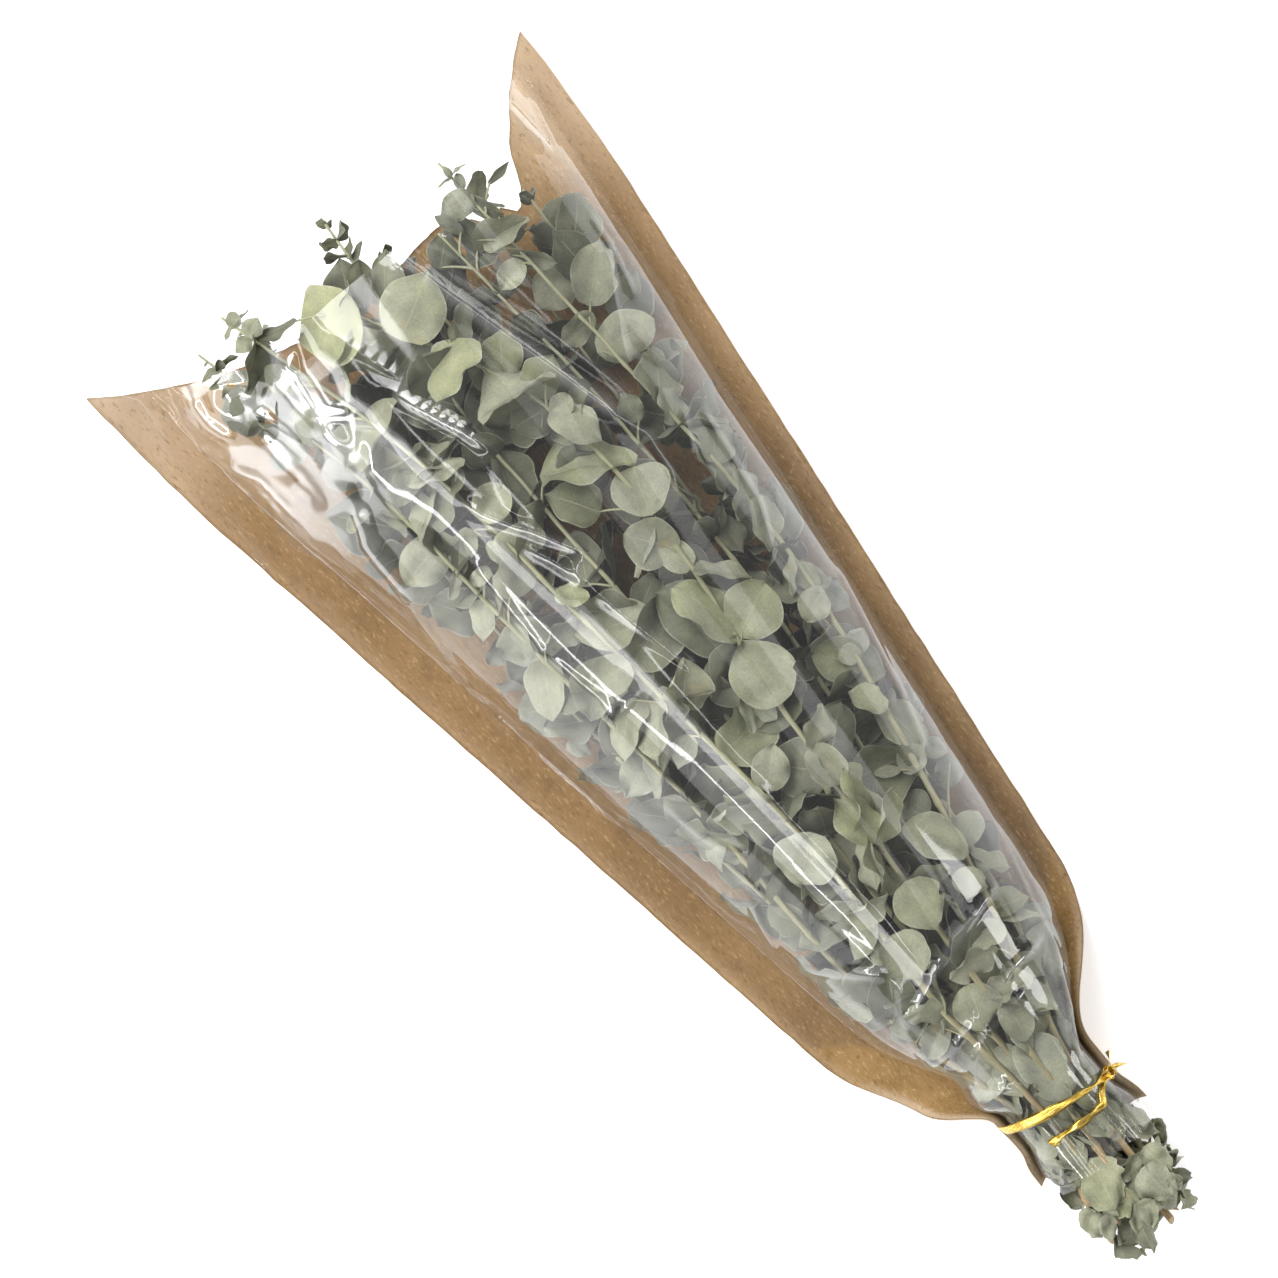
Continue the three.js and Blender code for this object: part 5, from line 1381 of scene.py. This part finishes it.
def photo_pose(number, row, lower, rise_sign, roll_sign, shrink):
    """The pose in which a leaf looks as it does in the photograph, and the stem that carries it."""
    right, down, tip_right, tip_down, width, tone, yellow, below = row
    chance = [float(draw(number, PHOTO_DRAWS + i)) for i in range(8)]
    stem, on, spot = carrier(right, down)
    base = np.array(on if math.dist(on, spot) < CARRIED_WITHIN else spot)
    raised = 0.7 * stem.radius(on[0])
    if below == 0 and width > 2 * SMALL_LEAF:
        raised = raised + lerp(1, 7, chance[0])
    if base[0] < FILM_TAIL_X:
        raised = NECK_RADIUS + math.sqrt(max(BUNCH_RADIUS**2 - base[1] ** 2, 0)) - base[2]
    elif base[0] < PRESSED_UNTIL and below == 0:
        raised = max(raised, float(film_height(base[0], base[1])) - PRESSED_ROOM - base[2])
    base[2] += raised - below - lower
    tip = photo_point(tip_right, tip_down, base[2])
    seen = math.dist(tip[:2], base[:2])
    wide_seen = width * math.dist(photo_point(0, 0, base[2]), photo_point(1, 0, base[2]))
    small = wide_seen < SMALL_LEAF
    length = max(seen, wide_seen / WIDEST_ASPECT)
    tilt = min(seen / length, 1)
    bend = lerp(-0.4, 0.8, chance[2]) * (0.15 + 0.85 * tilt)
    pitch = math.acos(tilt) * rise_sign + bend / 2
    widest = max(wide_seen, (0.45 if small else 0.8) * length)
    roll = math.acos(min(max(wide_seen / widest, 0.35), 1)) * roll_sign
    most_cupped = lerp(0.6, 1.1, tilt) * (1 - 0.65 * abs(math.sin(roll)))
    cup = (1 if chance[3] < 0.6 else -1) * lerp(0.12, most_cupped, chance[4] ** 1.5)
    level = unit(np.array([tip[0] - base[0], tip[1] - base[1], 0]))
    rise = np.array([0, 0, 1.0])
    ahead = level * math.cos(pitch) + rise * math.sin(pitch)
    wide = turned(np.cross(rise, level), ahead, np.array(roll))
    return stem, on, {
        "base": base,
        "ahead": ahead,
        "wide": wide,
        "face": np.cross(ahead, wide),
        "length": shrink * length * (bend / 2) / math.sin(bend / 2) if abs(bend) > 0.01 else shrink * length,
        "aspect": widest / length * abs(cup) / math.sin(abs(cup)),
        "bend": bend,
        "cup": cup,
        "wave": lerp(0.3, 1.0, chance[5]),
        "phase": 6 * chance[6],
        # lightness as the leaf looks: its own colour with its shade painted in
        "tone": tone / 100,
        "yellow": yellow / 100,
        "point": 1.5 * chance[7] - 0.5,
        "ragged": in_the_butt(base),
    }


def fitted_photo_pose(number, row):
    """The first way to stand that keeps a leaf of the photograph inside the sleeve, or None."""
    first_rise = 1 if draw(number, SIGN_DRAWS) < 0.6 else -1
    first_roll = 1 if draw(number, SIGN_DRAWS + 1) < 0.5 else -1
    rises, rolls = (first_rise, -first_rise), (first_roll, -first_roll)
    for shrink, lower, rise_sign, roll_sign in itertools.product(SHRINKS, LOWERINGS, rises, rolls):
        stem, on, pose = photo_pose(number, row, lower, rise_sign, roll_sign, shrink)
        beyond = pose["base"][0] > mouth_x(0)
        if beyond or inside_sleeve(blade_point(pose, PROBE_L, PROBE_W)[None], PHOTO_ROOM, BUTT_ROOM)[0]:
            return stem, on, pose
    return None


BUTT_LEAVES = 220  # poses tried for leaves between the tie and the cut ends
BUTT_END = -84
BUTT_TWIG = 9  # the longest twig there


def butt_pose(number):
    """A crumpled leaf in the tight bunch below the tie, and the stem that carries it."""
    chance = [float(draw(number, BUTT_DRAWS + i)) for i in range(12)]
    around = lerp(-1.9, 1.9, chance[0])
    x = lerp(-78, -20, chance[1])
    radius = lerp(15, 25.5, chance[2] ** 0.6)
    out = np.array([0, math.sin(around), math.cos(around)])
    base = np.array([x, radius * out[1], NECK_RADIUS + radius * out[2]])
    swing = lerp(-1.5, 1.5, chance[3]) + (math.pi if chance[4] < smooth(-x, 45, 85) else 0)
    lift = lerp(-0.25, 0.25, chance[5])
    level = turned(np.array([1.0, 0, 0]), out, np.array(swing))
    ahead = unit(level * math.cos(lift) + out * math.sin(lift))
    wide = turned(unit(np.cross(out, ahead)), ahead, np.array(lerp(-0.6, 0.6, chance[6])))
    stem = min(stems, key=lambda s: math.dist(s.point(x), base) if s.start < x - 2 else math.inf)
    return stem, stem.point(x), {
        "base": base,
        "ahead": ahead,
        "wide": wide,
        "face": np.cross(ahead, wide),
        "length": lerp(13, 25, chance[7]),
        "aspect": lerp(0.7, 1.05, chance[8]),
        "bend": lerp(0.1, 1.0, chance[9]),
        "cup": (1 if chance[10] < 0.6 else -1) * lerp(0.3, 1.0, chance[11]),
        "wave": 0.9,
        "phase": 6 * chance[2],
        "tone": lerp(0.25, 0.75, chance[9]),
        "yellow": lerp(0.3, 1.0, chance[8]),
        "ragged": 1.0,
    }


def twig_path(stem, on, pose):
    """The twig from a stem to the base of a leaf that stands away from it, or None."""
    base = pose["base"]
    gap = math.dist(base, on)
    if gap < 1.5:
        return None
    root = stem.point(max(on[0] - 0.7 * gap - 2, stem.start + 2))
    elbow = lerp(root, base, 0.5) + 0.18 * gap * stem.tangent(root[0])
    t = np.linspace(0, 1, 9)[:, None]
    return (1 - t) ** 2 * root + 2 * t * (1 - t) * elbow + t * t * (base + pose["ahead"] * 0.6)


# ---------------------------------------------------------------- ribbon

RIBBON_WIDTH = 5.2
RIBBON_THICKNESS = 0.3
RIBBON_PROFILE = [  # shares of the half-width, and of the thickness
    (-1, -0.35), (-0.5, 0.2), (0, 0.45), (0.5, 0.2), (1, -0.35), (0.5, -0.6), (0, -0.5), (-0.5, -0.6),
]
RIBBON_X = 4.5
RIBBON_TILT = 0.19
RIBBON_HALF_WIDTH = 31.4
RIBBON_BOTTOM = 0.45
RIBBON_TOP = 59.2
TWIST_AT = 2 * math.pi - 0.62
KNOT_AT = (0.4, -27.6, 46.0)
END_UP = [KNOT_AT, (2.6, -29.5, 46.5), (5.6, -32.2, 46.2), (8.2, -33.6, 44.5)]
END_SIDE = [KNOT_AT, (0.4, -30.6, 44.8), (-0.8, -34.0, 41.5), (-2.4, -36.0, 38.0)]
SECOND_WINDING_X = -8.2


def band_mesh(name, centres, outward, widths, twist, material, closed=False):
    """A flat band along a line of points, with a gentle crown, turned by twist about its own line."""
    if closed:
        tangent = unit(np.roll(centres, -1, 0) - np.roll(centres, 1, 0))
    else:
        tangent = unit(np.gradient(centres, axis=0))
    outward = unit(outward - tangent * (outward * tangent).sum(-1, keepdims=True))
    side = np.cross(outward, tangent)
    c, s = np.cos(twist)[:, None], np.sin(twist)[:, None]
    wide, up = side * c + outward * s, outward * c - side * s
    rings = np.stack([
        centres + wide * (a * widths / 2)[:, None] + up * (b * RIBBON_THICKNESS) for a, b in RIBBON_PROFILE
    ], 1)
    rows, sides = rings.shape[:2]
    if closed:
        rings = np.concatenate([rings, rings[:1]])
        rows += 1
        points = rings[:-1].reshape(-1, 3)
        faces = grid_faces(rows, sides, closed=True) % len(points)
    else:
        points = rings.reshape(-1, 3)
        faces = grid_faces(rows, sides, closed=True)
        end = (rows - 1) * sides
        caps = [[0, 1, 2, 7], [2, 3, 6, 7], [3, 4, 5, 6]]
        faces = np.concatenate([faces, np.array(caps), np.array(caps)[:, ::-1] + end])
    return mesh_object(name, points, faces, material)


def curve_through(points, t):
    """A smooth line through a few points, read at t from 0 to 1."""
    points = np.asarray(points, float)
    rows = np.column_stack([np.linspace(0, 1, len(points)), points])
    return np.stack([through(rows, t, column) for column in (1, 2, 3)], -1)


def build_ribbon(material):
    count = 120
    angle = np.arange(count) * 2 * math.pi / count
    middle = (RIBBON_TOP + RIBBON_BOTTOM) / 2
    y = RIBBON_HALF_WIDTH * np.sin(angle)
    z = middle + (RIBBON_TOP - RIBBON_BOTTOM) / 2 * np.cos(angle)
    x = RIBBON_X + RIBBON_TILT * y
    centres = np.stack([x, y, z], -1)
    outward = np.stack([0 * x, np.sin(angle), np.cos(angle)], -1)
    from_twist = (angle - TWIST_AT + math.pi) % (2 * math.pi) - math.pi
    pinch = np.exp(-((from_twist / 0.20) ** 2)) + 0.45 * np.exp(-(((from_twist - 0.45) / 0.25) ** 2))
    widths = RIBBON_WIDTH * (1 - 0.6 * np.clip(pinch, 0, 1)) * (1 + 0.07 * np.sin(5 * angle))
    twist = 0.18 * np.sin(3 * angle) + 1.1 * pinch
    band = band_mesh("ribbon_band", centres, outward, widths, twist, material, closed=True)
    dress(band, "ribbon_tie")
    # the knot, two crossed turns round the band, and its short ends
    t = np.linspace(0, 1, 70)
    turn = 2 * math.pi * 2 * t
    knot = np.stack([
        2.6 * np.sin(turn) + 0.6 * np.sin(2.3 * turn),
        2.2 * np.cos(turn) * (1 - 0.3 * t),
        1.7 * np.sin(turn * 1.5 + 0.6) + 1.2,
    ], -1) + KNOT_AT
    ends = {
        "ribbon_knot": (knot, 2.6 + 0.9 * np.sin(9 * t), 2.2 * np.sin(5 * t)),
        "ribbon_end_up": (curve_through(END_UP, t), lerp(1.6, 3.6, t), 1.4 * t),
        "ribbon_end_side": (curve_through(END_SIDE, t), lerp(1.6, 3.9, t), -0.9 * t),
    }
    # the second winding, which leaves the knot and lies over the film behind the first
    y = np.linspace(-21, 17, len(t))
    x = SECOND_WINDING_X + 1.3 * np.sin(y / 5.5)
    z = film_height(x, y) + FILM_THICKNESS + 1.6 + 1.0 * np.sin(y / 3.6 + 1)
    z = lerp(KNOT_AT[2] - 0.5, z, smooth(y, -21, -17))
    second = np.stack([lerp(0.4, x, smooth(y, -21, -15)), y - 5 * (1 - smooth(y, -21, -17)), z], -1)
    ends["ribbon_second"] = (second, 4.6 - 1.4 * np.sin(y / 4.4), 0.9 * np.sin(y / 4.8))
    for name, (line, width, twist) in ends.items():
        outward = np.stack([0 * t, line[:, 1] / RIBBON_HALF_WIDTH, 0 * t + 0.75], -1)
        dress(band_mesh(name, line, outward, width + 0 * t, twist, material), "ribbon_tie")


# ---------------------------------------------------------------- the whole bunch

# lightness ranges of the three layers of stems, the lower ones darker: painted shade for the leaves deep in
# the bunch
LAYER_SHADED_TONES = [(0.18, 0.58), (0.04, 0.36), (0.0, 0.22)]
NECK_TONE = 0.62


def toned(pose, stem, key):
    """A pose with its layer's lightness, as painted shade: dark inside the bunch, where it is shaded, and
    pale in the neck and at the cut ends.
    """
    tone = lerp(*LAYER_SHADED_TONES[stem.layer], float(draw(*key, TONE_DRAW)))
    pose["tone"] = tone + (NECK_TONE - tone) * 0.7 * float(1 - smooth(pose["base"][0], 30, 110))
    pose["ragged"] = 0.8 * in_the_butt(pose["base"])
    return pose


# Where the paper shows through the leaves in the photograph: pixels right and down, and a radius.
PAPER_GLINTS = [
    (531, 222, 6), (541, 272, 5), (482, 276, 6), (526, 292, 5), (515, 300, 6), (553, 314, 5), (562, 348, 5),
    (588, 318, 7), (588, 385, 5), (604, 392, 6), (630, 378, 5), (651, 454, 5), (588, 503, 4), (664, 452, 5),
    (690, 460, 7), (696, 542, 5), (640, 572, 6), (764, 571, 4), (798, 638, 4), (710, 503, 4), (955, 785, 7),
    (975, 782, 6), (1045, 868, 7),
]
SHRUNK = 0.68
GLINT_SPAN = 100  # millimetres above the table between the two heights that a glint is worked out for
BLADE_L, BLADE_W = (g.ravel() for g in np.meshgrid(np.linspace(0.08, 0.97, 7), np.linspace(-0.92, 0.92, 7)))
GLINT_LOW, GLINT_HIGH = (
    np.array([photo_point(*g[:2], z)[:2] for g in PAPER_GLINTS]) for z in (0, GLINT_SPAN)
)
GLINT_REACH = np.array([g[2] for g in PAPER_GLINTS]) / 2


def closes_a_glint(pose):
    """True where a leaf would stand in front of paper that shows in the photograph."""
    points = blade_point(pose, BLADE_L, BLADE_W * blade_half(BLADE_L))
    spots = GLINT_LOW + (GLINT_HIGH - GLINT_LOW) * points[:, None, 2:] / GLINT_SPAN
    return bool((np.hypot(*(points[:, None, :2] - spots).transpose(2, 0, 1)) < GLINT_REACH).any())


def allowed(pose):
    """A drawn leaf's pose, shortened if it closes a glint, or None where it hides one of the photograph's."""
    if closes_a_glint(pose):
        pose = {**pose, "length": SHRUNK * pose["length"]}
        if closes_a_glint(pose):
            return None
    probes = blade_point(pose, PROBE_L, PROBE_W)
    apart = np.hypot(*(probes[:, None, :2] - pictured[None, :, :2]).transpose(2, 0, 1))
    above = probes[:, None, 2] > pictured[None, :, 2] - 3
    return None if ((apart < 0.8 * pictured[None, :, 3]) & above).any() else pose


def between(nodes):
    """Nodes half way between a stem's own, for the leaves that fill the bunch."""
    return [
        (a[0] + 60, (a[1] + b[1]) / 2, a[2] + math.pi / 4, 0.92 * (a[3] + b[3]) / 2)
        for a, b in zip(nodes, nodes[1:])
    ]


def in_butt(pose):
    """True where a leaf keeps to the tight bunch between the tie and the cut ends."""
    x, y, z = blade_point(pose, PROBE_L, PROBE_W).T
    return np.hypot(y, z - NECK_RADIUS).max() <= NECK_RADIUS + 1 and x.min() >= BUTT_END


stems = [Stem(i) for i in range(len(STEMS))]
crowd = Crowd()
standing = {stem.index: [] for stem in stems}
twigs = {stem.index: [] for stem in stems}


def stand(stem, pose, key, on=None):
    """Puts a leaf on a stem. One that stands away from the point on it has a twig from there."""
    standing[stem.index].append((pose, key))
    crowd.add(pose)
    path = None if on is None else twig_path(stem, on, pose)
    if path is not None:
        twigs[stem.index].append(path)


# the leaves of the photograph come first, and each keeps its place clear: its middle and a reach
pictured = []
for number, row in enumerate(PHOTO_LEAVES):
    placed = fitted_photo_pose(number, row)
    if placed is None:
        continue
    stem, on, pose = placed
    stand(stem, pose, (stem.index, number, PICTURED), on)
    pictured.append((*blade_point(pose, np.array([0.5]), np.array([0.0]))[0], row[4] / 4))
pictured = np.array(pictured)

# the leaves of the solids, where they hide none of those
lacking = {}
for stem in stems:
    found, lacking[stem.index] = leaves_in_solids(stem)
    for node, side, pose in found:
        pose = allowed(pose)
        if pose is not None:
            key = (stem.index, node[0], side)
            stand(stem, toned(pose, stem, key), key)
crowd.settle()

# crumpled leaves between the tie and the cut ends
for number in range(BUTT_LEAVES):
    stem, on, pose = butt_pose(number)
    if not in_butt(pose) or math.dist(on, pose["base"]) > BUTT_TWIG:
        continue
    pose = allowed(pose)
    if pose is not None:
        stand(stem, pose, (stem.index, number, IN_BUTT), on)
crowd.settle()

# leaves that fill the bunch, at the solids' empty nodes and half way between them
for stem in stems:
    extra = [(node, side) for node in between(stem.leaf_nodes()) for side in (0, 1)]
    for node, side in lacking[stem.index] + extra:
        pose = roomiest(leaf_poses(stem, node, side, np.arange(TRIES)), crowd)
        pose = None if pose is None else allowed(pose)
        if pose is not None:
            key = (stem.index, node[0], side)
            stand(stem, toned(pose, stem, key), key)
    crowd.settle()

build_paper(kraft_material())
build_film(film_material())
build_ribbon(gold_material())
leaf = leaf_material()
bark = stem_material()
for stem in stems:
    build_stem(stem, bark, twigs[stem.index])
    build_leaves(stem, standing[stem.index], leaf)
